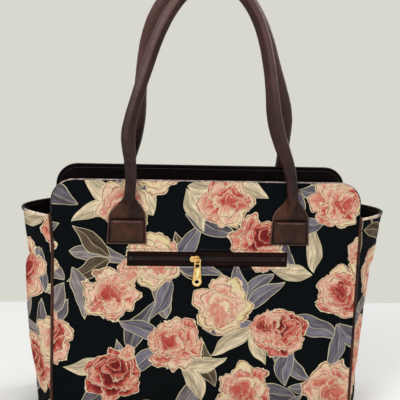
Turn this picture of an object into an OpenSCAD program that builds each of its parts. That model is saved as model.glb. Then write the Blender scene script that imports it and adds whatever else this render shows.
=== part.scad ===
// Laptop tote bag: two flat padded panels joined by a base and two flared end gussets,
// with rolled leather handles and a zipped pocket across the front.
// The bag stands on z = 0, its front faces -Y and its width runs along X.

/* [Body] */
// Width of the front and back panels between their side edges
panel_w = 396; // [330:1:460]
// Height of the front and back panels, measured up the panel from the ground
panel_h = 320; // [290:1:380]
// Depth of the bag across the base, outside to outside
base_depth = 120; // [95:1:160]
// Depth of the bag across the top edges, outside to outside
top_depth = 100; // [80:1:118]
// Corner radius at the top of the panels
top_corner_r = 28; // [12:1:40]
// Corner radius at the bottom of the panels
bottom_corner_r = 12; // [6:1:20]
// Thickness of the woven outer cloth with its backing
cloth_t = 2; // [1.2:0.1:3]

/* [End gussets] */
// How far the gusset rim lies below the top of the panels
gusset_drop = 48; // [34:1:90]
// How far a gusset bulges past its side seams at the ground
gusset_bulge_base = 19; // [5:1:30]
// How far a gusset flares past its side seams at the rim
gusset_bulge_rim = 41; // [20:1:60]
// Roundness of a gusset in plan: 2 is a parabola, less is more pointed, more is squarer
gusset_roundness = 1.9; // [1.4:0.1:3]

/* [Edges and lining] */
// Radius of the leather piping along the sides and bottom of each panel
piping_r = 2; // [1:0.1:3]
// Height of the leather facing inside the top edges
facing_h = 38; // [20:1:60]
// Thickness of the leather facing
facing_t = 1.2; // [0.8:0.1:2]
// Thickness of the foam padding behind each panel
padding_t = 3; // [2:0.1:5]
// Thickness of the lining cloth
lining_t = 0.8; // [0.5:0.1:1.2]
// Thickness of the stiffening board over the base
board_t = 2.5; // [1.5:0.1:4]
// Thickness of the padded laptop divider
divider_t = 6; // [4:0.5:9]
// Height of the padded laptop divider
divider_h = 224; // [150:1:240]
// Clear depth of the laptop compartment at the base
laptop_depth = 34; // [22:1:40]

/* [Handles] */
// Distance of each handle end from the middle of the panel
handle_x = 106; // [80:1:130]
// Radius of the rolled handle
handle_r = 8; // [6:0.5:10]
// Thickness of the leather rolled round the handle core
handle_wall = 1.6; // [1:0.1:2.5]
// Rise of the handle's middle above the necks of its ends
handle_h = 270; // [230:1:320]
// Gap between the two handles at the top
handle_gap = 6; // [3:1:30]

/* [Handle ends] */
// How far the lower edge of a handle end lies below the top of the panel
chape_drop = 83; // [76:1:92]
// Height of a flared handle end up to its neck
chape_h = 64; // [50:1:72]
// Width of a handle end along its lower edge
chape_w = 52; // [40:1:64]
// Thickness of the flat part of a handle end
chape_t = 2.2; // [1.5:0.1:3]
// Width of the handle end left bare round the sewn patch
patch_margin = 3.2; // [2:0.1:5]
// Thickness of the sewn patch
patch_t = 1.6; // [1:0.1:2.5]

/* [Front pocket zip] */
// Length of the window in the front panel
zip_w = 210; // [150:1:260]
// Height of the window in the front panel
zip_window_h = 20; // [14:1:24]
// How far the middle of the zip lies below the top of the panel
zip_drop = 103; // [98:1:130]
// Gap between the zip's coil and each of the two leather welts
welt_clear = 0.4; // [0.3:0.1:1.5]
// Thickness of a leather welt
welt_t = 1; // [0.6:0.1:1.5]
// Width of one half of the zip's coil
coil_w = 1.8; // [1.2:0.1:2.2]
// Thickness of the zip's coil
coil_t = 1.5; // [1:0.1:2]
// Thickness of the zip's tape
tape_t = 0.6; // [0.4:0.1:1]
// Place of the slider along the zip, from its middle
slider_x = -17; // [-60:1:60]
// Length of the slider
slider_l = 13; // [9:0.5:16]
// Width of the slider
slider_w = 9.6; // [8:0.1:12]
// Length of the zip's pull tab
pull_l = 36; // [20:1:44]
// Width of the zip's pull tab at its round end
pull_w = 12.6; // [9:0.1:14]
// Width of the zip's pull tab at its head
pull_head_w = 8.6; // [7.4:0.1:10]
// Place of the bail and its pull along the slider, from the slider's middle
pull_x = 3.5; // [0:0.1:4]
// Thickness of the pull tab
pull_t = 1.8; // [1:0.1:2]
// Depth of the pocket bag below the zip
pocket_depth = 165; // [100:1:185]

/* [Hidden] */
$fn = 48;

tapestry = "#23262b";
leather = "#3b241f";
lining_cloth = "#191516";
foam = "#8d8a86";
gold = "#d9b35c";

// Clearance between layers that lie against each other
fit = 0.3;
// Slimmer clearance between flat layers of one sewn panel
layer_fit = 0.2;
// How far padding and board stop short of the panel's side edges
padding_inset = 4;
// How far the facing stops short of the panel's side edges
facing_inset = 1;
// Radius of the board's corners, which the padding's lower corners follow
board_corner_r = 6;

// The panels lean inwards, so that the bag is narrower at the top
lean = asin((base_depth - top_depth) / 2 / panel_h);
piping_offset = piping_r + layer_fit;
panel_bottom = 2 * piping_r + 2 * layer_fit;
rim_z = panel_h - facing_h;
gusset_h = panel_h - gusset_drop;
chape_z = panel_h - chape_drop;
zip_z = panel_h - zip_drop;

// Layers behind the front panel, as depths from its outer face
welt_s = cloth_t + layer_fit;
tape_s = welt_s + welt_t + layer_fit;
slider_back_s = tape_s + tape_t + layer_fit;
slider_back_t = 1;
pocket_s = slider_back_s + slider_back_t + fit;
pocket_cloth_t = 0.5;
pocket_t = 3 * pocket_cloth_t;
front_padding_s = pocket_s + pocket_t + fit;
back_padding_s = cloth_t + layer_fit;
facing_s = cloth_t + layer_fit;

// The half depth left for a gusset between the two pipings, at a height
gusset_side_gap = cloth_t / 2 + piping_r + fit;
function half_depth(z) = base_depth / 2 - gusset_side_gap - z * tan(lean);
// The outer face of a gusset, along X, at a depth and a height
gusset_step = 0.8;
gusset_x = panel_w / 2 + piping_offset + gusset_step;
gusset_curve = 1.5;
function gusset_bulge(z) = gusset_bulge_base
    + (gusset_bulge_rim - gusset_bulge_base) * pow(max(z, 0) / gusset_h, gusset_curve);
function gusset_face(y, z) = gusset_x
    + gusset_bulge(z) * (1 - pow(min(1, abs(y) / half_depth(z)), gusset_roundness));

// The handle leaves its flared ends at the neck, and turns about the front of that neck
neck_s = -(handle_r + fit);
neck_z = chape_z + chape_h;
handle_start = neck_z + fit;
apex_y = handle_gap / 2 + handle_r;

// Each leg of a handle, as shares of the handle's half spread towards the middle and of its rise
front_left_leg = [
    [0, 0], [0.009, 0.074], [0.009, 0.185], [0, 0.278], [0.028, 0.37],
    [0.113, 0.489], [0.208, 0.604], [0.311, 0.722], [0.443, 0.833], [0.604, 0.922],
    [0.802, 0.981]
];
front_right_leg = [
    [0, 0], [0.028, 0.081], [0.066, 0.156], [0.16, 0.267], [0.236, 0.381],
    [0.283, 0.504], [0.33, 0.619], [0.396, 0.737], [0.5, 0.844], [0.651, 0.93],
    [0.83, 0.981]
];
back_left_leg = [
    [0, 0], [0.057, 0.081], [0.113, 0.185], [0.151, 0.319], [0.16, 0.444],
    [0.179, 0.574], [0.217, 0.704], [0.302, 0.819], [0.453, 0.915], [0.698, 0.978]
];
back_right_leg = [
    [0, 0], [-0.038, 0.081], [-0.047, 0.2], [-0.028, 0.333], [0.057, 0.47],
    [0.16, 0.593], [0.274, 0.722], [0.415, 0.837], [0.575, 0.922], [0.774, 0.978]
];
// A handle stands upright past the top edge of its panel before it leans inwards
least_upright = 12;
edge_clear = 4;
upright_rise = max(least_upright, panel_h - handle_start + edge_clear);

// Depths and heights of a leaning panel, as a point of the bag's YZ plane
function front_point(s, z) = [
    -base_depth / 2 + s * cos(lean) + z * sin(lean),
    -s * sin(lean) + z * cos(lean)
];
function back_point(s, z) = [-front_point(s, z)[0], front_point(s, z)[1]];

// Places its children on the front panel: X along it, Y into the bag from its outer face, Z up it
module on_front() {
    translate([0, -base_depth / 2, 0]) rotate([-lean, 0, 0]) children();
}

module on_back() {
    mirror([0, 1, 0]) on_front() children();
}

// Lays a flat outline, drawn in X and Z, into a slab from depth s to s + t
module slab(s, t) {
    translate([0, s + t, 0]) rotate([90, 0, 0]) linear_extrude(t) children();
}

// A YZ profile carried along X over a width about the middle
module across(width) {
    rotate([90, 0, 90]) translate([0, 0, -width / 2]) linear_extrude(width) children();
}

// A rectangle from z0 to z1 with its own top and bottom corner radii
module panel_outline(w, z0, z1, r_top, r_bottom) {
    translate([-w / 2, z0 + r_bottom]) square([w, z1 - z0 - r_top - r_bottom]);
    translate([-w / 2 + r_top, z1 - r_top - 1]) square([w - 2 * r_top, r_top + 1]);
    translate([-w / 2 + r_bottom, z0]) square([w - 2 * r_bottom, r_bottom + 1]);
    for (side = [-1, 1]) {
        translate([side * (w / 2 - r_top), z1 - r_top]) circle(r_top);
        translate([side * (w / 2 - r_bottom), z0 + r_bottom]) circle(r_bottom);
    }
}

module rounded_rect(w, h, r) {
    panel_outline(w, -h / 2, h / 2, r, r);
}

// Outer cloth

module plain_panel() {
    slab(0, cloth_t) panel_outline(panel_w, panel_bottom, panel_h, top_corner_r, bottom_corner_r);
}

module front_panel() {
    color(tapestry) on_front() difference() {
        plain_panel();
        translate([0, 0, zip_z]) slab(-1, cloth_t + 2) rounded_rect(zip_w, zip_window_h, 1.5);
    }
}

module back_panel() {
    color(tapestry) on_back() plain_panel();
}

// A sheet that follows the gusset's inside: it starts at a distance in from the gusset's outer face
module end_sheet(offset_x, t, z0, z1, side_inset, rows, columns) {
    grid = [
        for (i = [0:rows]) let (z = z0 + (z1 - z0) * i / rows)
            [for (j = [0:columns]) let (y = (half_depth(z) - side_inset) * (2 * j / columns - 1))
                [gusset_face(y, z) - offset_x, y, z]]
    ];
    outer = [for (row = grid) each row];
    inner = [for (p = outer) p - [t, 0, 0]];
    n = len(outer);
    c = columns + 1;
    quads = concat(
        [for (i = [0:rows - 1]) for (j = [0:columns - 1])
            let (a = i * c + j) [a, a + c, a + c + 1, a + 1]],
        [for (i = [0:rows - 1]) for (j = [0:columns - 1])
            let (a = n + i * c + j) [a, a + 1, a + c + 1, a + c]],
        [for (j = [0:columns - 1]) [j, j + 1, n + j + 1, n + j]],
        [for (j = [0:columns - 1]) let (a = rows * c + j) [a + 1, a, n + a, n + a + 1]],
        [for (i = [0:rows - 1]) let (a = i * c) [a + c, a, n + a, n + a + c]],
        [for (i = [0:rows - 1]) let (a = i * c + columns) [a, a + c, n + a + c, n + a]]
    );
    polyhedron(
        points = concat(outer, inner),
        faces = [for (q = quads) each [[q[0], q[1], q[2]], [q[0], q[2], q[3]]]],
        convexity = 6
    );
}

module gusset() {
    color(tapestry) end_sheet(0, cloth_t, 0, gusset_h, 0, 8, 20);
}

module right_gusset() {
    gusset();
}

module left_gusset() {
    mirror([1, 0, 0]) gusset();
}

// The plan of the ground inside the gussets, kept clear of their outer faces and of the panels
module bulged_outline(end_inset, side_inset) {
    steps = 20;
    y_max = half_depth(0) - side_inset;
    right_end = [
        for (j = [0:steps]) let (y = y_max * (2 * j / steps - 1)) [gusset_face(y, 0) - end_inset, y]
    ];
    left_end = [for (j = [steps:-1:0]) [-right_end[j][0], right_end[j][1]]];
    polygon(concat(right_end, left_end));
}

// The base reaches out to the bulging gussets at both ends
module base_panel() {
    color(tapestry) linear_extrude(cloth_t) bulged_outline(cloth_t + fit, fit);
}

module base_board() {
    board_d = 2 * (half_depth(0) - fit) - 2 * lining_t;
    color(foam) translate([0, 0, cloth_t + layer_fit]) linear_extrude(board_t)
        rounded_rect(panel_w - 2 * padding_inset, board_d, board_corner_r);
}

// Padding, facing and lining

padding_z = panel_bottom + cloth_t + board_t;
padding_drop = 26;
padding_top_r = 10;
padding_top = rim_z - padding_drop;
padding_w = panel_w - 2 * padding_inset;

module padding(s) {
    slab(s, padding_t) panel_outline(padding_w, padding_z, padding_top, padding_top_r, board_corner_r);
}

module front_padding() {
    color(foam) on_front() padding(front_padding_s);
}

module back_padding() {
    color(foam) on_back() padding(back_padding_s);
}

module panel_facing() {
    color(leather) slab(facing_s, facing_t) intersection() {
        panel_outline(
            panel_w - 2 * facing_inset, panel_bottom, panel_h, top_corner_r - facing_inset, bottom_corner_r
        );
        translate([-panel_w / 2, rim_z]) square([panel_w, facing_h]);
    }
}

module front_facing() {
    on_front() panel_facing();
}

module back_facing() {
    on_back() panel_facing();
}

end_layer_x = cloth_t + fit;
end_facing_z = gusset_h - facing_h;
end_side_inset = facing_s + facing_t;

module end_facing() {
    color(leather) end_sheet(end_layer_x, facing_t, end_facing_z, gusset_h, end_side_inset, 4, 20);
}

module right_facing() {
    end_facing();
}

module left_facing() {
    mirror([1, 0, 0]) end_facing();
}

lining_floor_z = cloth_t + layer_fit + board_t + fit;
lining_w = panel_w - 6;
lining_top = rim_z - fit;

// The front wall, floor and back wall of the lining are one strip, tucked under the facings,
// and the floor reaches out into the bulging ends
module lining() {
    front_s = front_padding_s + padding_t + fit;
    back_s = back_padding_s + padding_t + fit;
    tuck_z = padding_top + 2;
    outer = [
        front_point(facing_s, lining_top),
        front_point(facing_s, lining_top - 6),
        front_point(front_s, tuck_z),
        [front_point(front_s, lining_floor_z)[0], lining_floor_z],
        [back_point(back_s, lining_floor_z)[0], lining_floor_z],
        back_point(back_s, tuck_z),
        back_point(facing_s, lining_top - 6),
        back_point(facing_s, lining_top)
    ];
    inner = [
        front_point(facing_s + lining_t, lining_top),
        front_point(facing_s + lining_t, lining_top - 6),
        front_point(front_s + lining_t, tuck_z),
        [front_point(front_s + lining_t, lining_floor_z)[0], lining_floor_z + lining_t],
        [back_point(back_s + lining_t, lining_floor_z)[0], lining_floor_z + lining_t],
        back_point(back_s + lining_t, tuck_z),
        back_point(facing_s + lining_t, lining_top - 6),
        back_point(facing_s + lining_t, lining_top)
    ];
    color(lining_cloth) {
        across(lining_w) polygon(concat(outer, [for (i = [len(inner) - 1:-1:0]) inner[i]]));
        translate([0, 0, lining_floor_z]) linear_extrude(lining_t)
            bulged_outline(end_layer_x + lining_t + fit, front_s + lining_t);
    }
}

module end_lining() {
    color(lining_cloth)
        end_sheet(end_layer_x, lining_t, lining_floor_z, end_facing_z - fit, end_side_inset, 6, 20);
}

module right_lining() {
    end_lining();
}

module left_lining() {
    mirror([1, 0, 0]) end_lining();
}

// A padded wall that stands on the lining and keeps the laptop against the back
module laptop_divider() {
    back_y = back_point(back_padding_s + padding_t + fit + lining_t, lining_floor_z)[0];
    floor_z = lining_floor_z + lining_t + fit;
    divider_w = lining_w - 2;
    top_r = 18;
    bottom_r = 4;
    color(lining_cloth) translate([0, back_y - laptop_depth - divider_t, 0]) slab(0, divider_t)
        panel_outline(divider_w, floor_z, floor_z + divider_h, top_r, bottom_r);
}

// Piping

// A quarter of a ring in the panel's plane, starting at an angle from +X
module piping_bend(x, z, r, start) {
    translate([x, 0, z]) rotate([90, 0, 0]) rotate([0, 0, start]) rotate_extrude(angle = 90)
        translate([r, 0]) circle(piping_r);
}

module piping() {
    mid_s = cloth_t / 2;
    x_side = panel_w / 2 + piping_offset;
    z_low = panel_bottom - piping_offset;
    side_z0 = panel_bottom + bottom_corner_r;
    past_rim = 4;
    side_z1 = min(gusset_h + past_rim, panel_h - top_corner_r);
    x_low = panel_w / 2 - bottom_corner_r;
    color(leather) translate([0, mid_s, 0]) {
        translate([-x_low, 0, z_low]) rotate([0, 90, 0]) cylinder(r = piping_r, h = 2 * x_low);
        for (side = [-1, 1])
            translate([side * x_side, 0, side_z0]) cylinder(r = piping_r, h = side_z1 - side_z0);
        piping_bend(-x_low, side_z0, bottom_corner_r + piping_offset, 180);
        piping_bend(x_low, side_z0, bottom_corner_r + piping_offset, 270);
    }
}

module front_piping() {
    on_front() piping();
}

module back_piping() {
    on_back() piping();
}

// Handle ends

// Share of a handle end's height that stays flat
chape_flat = 0.5;

// Half width of a handle end, from its lower edge to its neck
function chape_half_width(t) =
    let (low = chape_w / 2, shoulder = low - 2, bend = chape_flat)
    t < bend ? low + (shoulder - low) * t / bend
        : handle_r + (shoulder - handle_r) * (1 + cos(180 * pow((t - bend) / (1 - bend), 1.3))) / 2;

// Height of the swelling where the flat end rolls up into the handle
function chape_swell(t) =
    let (u = max(0, (t - chape_flat) / (1 - chape_flat)))
    (2 * handle_r - chape_t) * u * u * (3 - 2 * u);

// How much the leather of a handle end thins towards its edges
chape_crown = 0.4;

// A handle end stands on its lower edge at the middle of that edge
module handle_end_form() {
    sections = 12;
    points_across = 16;
    rings = [
        for (i = [0:sections]) let (t = i / sections, a = chape_half_width(t), swell = chape_swell(t)) [
            for (j = [0:points_across]) let (
                v = 1 - 2 * j / points_across, x = a * v, u = min(1, abs(x) / handle_r),
                crown = chape_crown * (1 - v * v)
            ) [x, -(fit + chape_t - chape_crown + crown + swell * sqrt(max(0, 1 - u * u))), t * chape_h],
            [-a, -fit, t * chape_h],
            [a, -fit, t * chape_h]
        ]
    ];
    n = points_across + 3;
    polyhedron(
        points = [for (ring = rings) each ring],
        faces = concat(
            [for (i = [0:sections - 1]) for (j = [0:n - 1])
                let (a = i * n + j, b = i * n + (j + 1) % n) each [[a, a + n, b + n], [a, b + n, b]]],
            [[for (j = [0:n - 1]) j]],
            [[for (j = [n - 1:-1:0]) sections * n + j]]
        ),
        convexity = 4
    );
}

module handle_end(side) {
    color(leather) translate([side * handle_x, 0, chape_z]) handle_end_form();
}

module patch(side) {
    patch_w = chape_w - 2 * patch_margin - 2;
    patch_h = chape_h * chape_flat - patch_margin;
    color(leather) translate([side * handle_x, 0, chape_z + patch_margin + patch_h / 2])
        slab(-(fit + chape_t + layer_fit + patch_t), patch_t) rounded_rect(patch_w, patch_h, 2);
}

module front_left_handle_end() { on_front() handle_end(-1); }
module front_right_handle_end() { on_front() handle_end(1); }
module back_left_handle_end() { on_back() handle_end(-1); }
module back_right_handle_end() { on_back() handle_end(1); }
module front_left_patch() { on_front() patch(-1); }
module front_right_patch() { on_front() patch(1); }
module back_left_patch() { on_back() patch(-1); }
module back_right_patch() { on_back() patch(1); }

// Handles

// A point of the curve through p1 and p2, with p0 and p3 before and after them
function through(p0, p1, p2, p3, t) =
    let (
        slope = p2 - p0,
        bend = 2 * p0 - 5 * p1 + 4 * p2 - p3,
        twist = 3 * p1 - p0 - 3 * p2 + p3
    )
    0.5 * (2 * p1 + slope * t + bend * t * t + twist * t * t * t);

function smooth(points, steps) = let (last = len(points) - 1) [
    for (i = [0:last - 1]) for (k = [0:steps - 1])
        through(points[max(0, i - 1)], points[i], points[i + 1], points[min(last, i + 2)], k / steps),
    points[last]
];

// The middle line of a handle, from the left neck over the top to the right neck
function handle_line(left_leg, right_leg) =
    let (
        neck = front_point(neck_s, handle_start),
        lean_in = function (rise) max(0, rise - upright_rise) / (handle_h - upright_rise),
        place = function (x, rise) [x, neck[0] + (-apex_y - neck[0]) * lean_in(rise), neck[1] + rise],
        left = [for (p = left_leg) place(-handle_x * (1 - p[0]), handle_h * p[1])],
        right = [
            for (i = [len(right_leg) - 1:-1:0])
                let (p = right_leg[i]) place(handle_x * (1 - p[0]), handle_h * p[1])
        ],
        last_left = left_leg[len(left_leg) - 1][0],
        last_right = right_leg[len(right_leg) - 1][0],
        apex_x = handle_x * (last_left - last_right) / 2
    )
    smooth(concat(left, [place(apex_x, handle_h)], right), 2);

function unit(v) = v / norm(v);

// Rings of points round a line, each square to it
function rings_along(line, r, sides) = let (last = len(line) - 1, out = [0, -1, 0]) [
    for (i = [0:last]) let (
        along = i == 0 || i == last ? [0, 0, i == 0 ? 1 : -1] : unit(line[i + 1] - line[i - 1]),
        a = unit(out - (out * along) * along),
        b = cross(along, a)
    ) [for (j = [0:sides - 1]) line[i] + r * (cos(360 * j / sides) * a + sin(360 * j / sides) * b)]
];

// Faces between the rings, seen from outside the tube
function tube_faces(first, count, sides) = [
    for (i = [0:count - 2]) for (j = [0:sides - 1])
        let (a = first + i * sides + j, b = first + i * sides + (j + 1) % sides)
            each [[b + sides, b, a], [a + sides, b + sides, a]]
];

function turned(faces) = [for (f = faces) [f[2], f[1], f[0]]];

module rod(line, r, sides) {
    rings = rings_along(line, r, sides);
    last = (len(rings) - 1) * sides;
    polyhedron(
        points = [for (ring = rings) each ring],
        faces = concat(
            tube_faces(0, len(rings), sides),
            [[for (j = [0:sides - 1]) j]],
            [[for (j = [sides - 1:-1:0]) last + j]]
        ),
        convexity = 8
    );
}

module sleeve(line, r, wall, sides) {
    outer = rings_along(line, r, sides);
    inner = rings_along(line, r - wall, sides);
    count = len(outer);
    n = count * sides;
    last = (count - 1) * sides;
    polyhedron(
        points = concat([for (ring = outer) each ring], [for (ring = inner) each ring]),
        faces = concat(
            tube_faces(0, count, sides),
            turned(tube_faces(n, count, sides)),
            [for (j = [0:sides - 1]) let (k = (j + 1) % sides) each [[j, k, n + k], [j, n + k, n + j]]],
            [for (j = [0:sides - 1]) let (a = last + j, b = last + (j + 1) % sides)
                each [[b, a, n + a], [b, n + a, n + b]]]
        ),
        convexity = 8
    );
}

handle_sides = 14;
core_sides = 10;
// The core's corners touch no flat of the leather round it
core_r = (handle_r - handle_wall) * cos(180 / handle_sides) - fit;

front_line = handle_line(front_left_leg, front_right_leg);
back_line = handle_line(back_left_leg, back_right_leg);

module front_handle() {
    color(leather) sleeve(front_line, handle_r, handle_wall, handle_sides);
}

module front_handle_core() {
    color(foam) rod(front_line, core_r, core_sides);
}

module back_handle() {
    color(leather) mirror([0, 1, 0]) sleeve(back_line, handle_r, handle_wall, handle_sides);
}

module back_handle_core() {
    color(foam) mirror([0, 1, 0]) rod(back_line, core_r, core_sides);
}

// Front pocket

// The slider's neck runs in the gap between the two halves of the coil
coil_gap = 1.2;
welt_gap = coil_gap + 2 * coil_w + 2 * welt_clear;
// The welts and tapes reach past the window to where they are sewn to the panel
welt_seam = 6;
welt_w = zip_w + 2 * welt_seam;
welt_h = zip_window_h / 2 + welt_seam - welt_gap / 2;
tape_seam = 5;
tape_h = zip_window_h / 2 + tape_seam;
stop_l = 3;
// Room left at each end of the zip's window beyond the end stops
stop_clear = 4;
coil_l = zip_w - 2 * stop_clear - 2 * stop_l;

// Its children lie along the middle of the zip, on the outer face of the front panel
module on_zip() {
    on_front() translate([0, 0, zip_z]) children();
}

module welt(side) {
    color(leather) on_zip() slab(welt_s, welt_t)
        translate([0, side * (welt_gap / 2 + welt_h / 2)]) square([welt_w, welt_h], center = true);
}

module pocket_upper_welt() { welt(1); }
module pocket_lower_welt() { welt(-1); }

module zip_tape(side) {
    tape_edge = coil_gap / 2;
    color(leather) on_zip() slab(tape_s, tape_t)
        translate([0, side * (tape_edge + tape_h / 2)]) square([zip_w + 4, tape_h], center = true);
}

module zip_upper_tape() { zip_tape(1); }
module zip_lower_tape() { zip_tape(-1); }

module zip_coil(side) {
    color(leather) on_zip() slab(tape_s - coil_t, coil_t)
        translate([0, side * (coil_gap / 2 + coil_w / 2)]) square([coil_l, coil_w], center = true);
}

module zip_upper_coil() { zip_coil(1); }
module zip_lower_coil() { zip_coil(-1); }

module zip_end_stops() {
    color(leather) on_zip() for (side = [-1, 1])
        translate([side * (coil_l / 2 + fit + stop_l / 2), 0, 0]) slab(tape_s - coil_t, coil_t)
            rounded_rect(stop_l, coil_gap + 2 * coil_w, 0.5);
}

// A flat pouch, open at the top, whose front layer hangs from the lower tape
module pocket_bag() {
    pouch_w = zip_w + 4;
    seam = 1;
    rear_top = tape_h;
    front_top = -tape_h + 4;
    color(lining_cloth) on_zip() difference() {
        slab(pocket_s, pocket_t) translate([-pouch_w / 2, -pocket_depth])
            square([pouch_w, pocket_depth + rear_top]);
        slab(pocket_s + pocket_cloth_t, pocket_cloth_t)
            translate([-pouch_w / 2 + seam, -pocket_depth + seam])
                square([pouch_w - 2 * seam, pocket_depth + rear_top]);
        slab(pocket_s - 1, 1 + pocket_cloth_t + 0.1) translate([-pouch_w / 2 - 1, front_top])
            square([pouch_w + 2, rear_top - front_top + 1]);
    }
}

// Zip slider and pull

plate_t = 2;
plate_front = plate_t - (tape_s - coil_t - fit);
pivot_r = 0.9;
pivot_clear = 0.35;
pivot_hole_r = pivot_r + pivot_clear;
bail_w = 3.2;
pivot_out = plate_front + pivot_hole_r + 0.4;
pull_window_w = bail_w + 1.8;
pull_window_l = 4.8;
pull_bar = 1.4;
pull_slot_l = 4.4;
pull_ring_wall = 3.6;

module on_slider() {
    on_zip() translate([slider_x, 0, 0]) children();
}

// Its children lie on the slider at the bail that carries the pull
module at_bail() {
    translate([pull_x, 0, 0]) children();
}

module zip_slider() {
    neck_l = 4;
    neck_w = coil_gap - 0.4;
    root = 0.5;
    neck_front = plate_t - plate_front - root;
    bail_wall = 0.8;
    bail_l = 2 * pivot_hole_r + 3;
    bail_top = pivot_out + pivot_hole_r + bail_wall;
    color(gold) on_slider() {
        difference() {
            union() {
                slab(-plate_front, plate_t) rounded_rect(slider_l, slider_w, 3);
                at_bail() slab(-bail_top, bail_top - plate_front + root)
                    rounded_rect(bail_w, bail_l, 0.8);
            }
            translate([-slider_l, -pivot_out, 0]) rotate([0, 90, 0])
                cylinder(r = pivot_hole_r, h = 2 * slider_l);
        }
        slab(neck_front, slider_back_s + root - neck_front) square([neck_l, neck_w], center = true);
        slab(slider_back_s, slider_back_t) rounded_rect(slider_l - 1, slider_w - 2.6, 2);
    }
}

// A tab that widens from its head to a pierced round end, with a slot below the window for the bail
module pull_outline() {
    ring_r = pull_w / 2;
    ring_z = -pull_l + ring_r;
    slot_z = -pull_window_l - pull_bar - pull_slot_l;
    head_x = pull_head_w / 2;
    flare = 20;
    flare_x = ring_r * cos(flare);
    flare_z = ring_z + ring_r * sin(flare);
    difference() {
        union() {
            polygon([
                [-head_x, 0], [-head_x, slot_z], [-flare_x, flare_z],
                [flare_x, flare_z], [head_x, slot_z], [head_x, 0]
            ]);
            translate([0, ring_z]) circle(ring_r);
        }
        translate([-pull_window_w / 2, -pull_window_l]) square([pull_window_w, pull_window_l + 1]);
        translate([-pull_window_w / 2, slot_z]) square([pull_window_w, pull_slot_l]);
        translate([0, ring_z]) circle(ring_r - pull_ring_wall);
    }
}

// The tab hangs from a round bar through the slider's bail
module zip_pull() {
    color(gold) on_slider() at_bail() {
        slab(-pivot_out - pull_t / 2, pull_t) pull_outline();
        translate([-pull_head_w / 2, -pivot_out, 0]) rotate([0, 90, 0])
            cylinder(r = pivot_r, h = pull_head_w);
    }
}

front_panel();
back_panel();
left_gusset();
right_gusset();
base_panel();
base_board();
front_padding();
back_padding();
front_facing();
back_facing();
left_facing();
right_facing();
lining();
left_lining();
right_lining();
laptop_divider();
front_piping();
back_piping();
front_left_handle_end();
front_right_handle_end();
back_left_handle_end();
back_right_handle_end();
front_left_patch();
front_right_patch();
back_left_patch();
back_right_patch();
pocket_upper_welt();
pocket_lower_welt();
zip_upper_tape();
zip_lower_tape();
zip_upper_coil();
zip_lower_coil();
zip_end_stops();
pocket_bag();
zip_slider();
zip_pull();
front_handle();
front_handle_core();
back_handle();
back_handle_core();
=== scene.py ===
import math

import bmesh
import bpy
import numpy as np
from mathutils import Matrix, Vector


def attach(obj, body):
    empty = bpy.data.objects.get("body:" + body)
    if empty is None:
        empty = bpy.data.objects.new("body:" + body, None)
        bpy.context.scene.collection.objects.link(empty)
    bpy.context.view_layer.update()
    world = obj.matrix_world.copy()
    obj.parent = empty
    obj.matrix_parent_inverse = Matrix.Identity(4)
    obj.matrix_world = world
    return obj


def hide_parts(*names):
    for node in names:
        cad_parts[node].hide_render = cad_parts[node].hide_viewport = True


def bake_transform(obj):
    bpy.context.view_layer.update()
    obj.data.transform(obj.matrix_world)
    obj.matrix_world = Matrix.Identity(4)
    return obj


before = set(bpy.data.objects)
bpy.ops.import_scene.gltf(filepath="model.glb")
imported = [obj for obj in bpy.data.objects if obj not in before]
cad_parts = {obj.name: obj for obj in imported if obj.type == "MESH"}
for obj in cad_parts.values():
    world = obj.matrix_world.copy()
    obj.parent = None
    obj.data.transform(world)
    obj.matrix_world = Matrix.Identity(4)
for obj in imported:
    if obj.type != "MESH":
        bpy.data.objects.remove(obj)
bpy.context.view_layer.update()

# Sides of the bag and sizes of its parts, in millimetres
MM = 0.001
FRONT = LEFT = LOWER = -1
BACK = RIGHT = UPPER = 1
SIDES = {FRONT: "front", BACK: "back"}
ENDS = {LEFT: "left", RIGHT: "right"}
HALVES = {UPPER: "upper", LOWER: "lower"}

PANEL_W = 396.0
PANEL_H = 320.0
PANEL_BOTTOM = 4.4
HALF_BASE = 60.0
LEAN = math.asin(10.0 / PANEL_H)
TOP_R = 28.0
BOTTOM_R = 12.0
CLOTH_T = 2.0
# How far from what is sewn to it a panel is held, and where it starts to swell
PANEL_HOLD = 14.0
PANEL_EASE = 6.0
SWELL_LOW = -1.2
SWELL_CAP = 4.5
# Room round the handle ends, the facing, the zip and its pull in which a panel is held
SEWN_ROOM = 3.0
FACING_ROOM = 4.0
ZIP_ROOM = 9.0
PULL_ROOM = 4.0
HEM_S = 1.55
HEM_DEPTH = 1.95
HEM_RISE = 0.85
HEM_GROW = 0.1
HEM_ABOVE = 4.5

GUSSET_H = 272.0
GUSSET_X = 201.0
GUSSET_EDGE = 56.7
BULGE_BASE = 19.0
BULGE_RIM = 41.0
GUSSET_CURVE = 1.5
GUSSET_ROUNDNESS = 1.9
GUSSET_HOLD = 12.0
GUSSET_EASE = 9.0
GUSSET_CAP = 4.0
FOLD_DEPTH = 2.6
FOLD_W = 9.0
FOLD_LOW = 60.0
FOLD_HIGH = 180.0
# Sections of a gusset's turned hem, outside and inside: how far inwards, and how far above the rim
RIM_HEM_OUTER = [(-0.5, -2.8), (-0.6, -1.9), (-0.6, -1.0), (-0.55, 0.3), (0.3, 0.9), (1.6, 0.9), (2.1, 0.3)]
RIM_HEM_INNER = [(-0.1, -2.8), (-0.1, -1.9), (-0.1, -1.0), (-0.1, -0.1), (0.3, 0.2), (1.6, 0.2), (1.8, -0.1)]
RIM_HEM_END = 1.2
RIM_HEM_WAVE = 0.7
BASE_LIFT = 0.7
BASE_EDGE = 2.5
# How far the soft cloth of each end stands out from its even shape, by height
PUFF_Z = [0, 25, 45, 65, 95, 140, 180, 196, 206, 272]
PUFF = {LEFT: [0, 0, 1.5, 4, 7, 8.5, 7, 6, 0, 0], RIGHT: [0, -1, -2, -2, -2, -3, -3, -2.5, -1, 0]}
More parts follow.
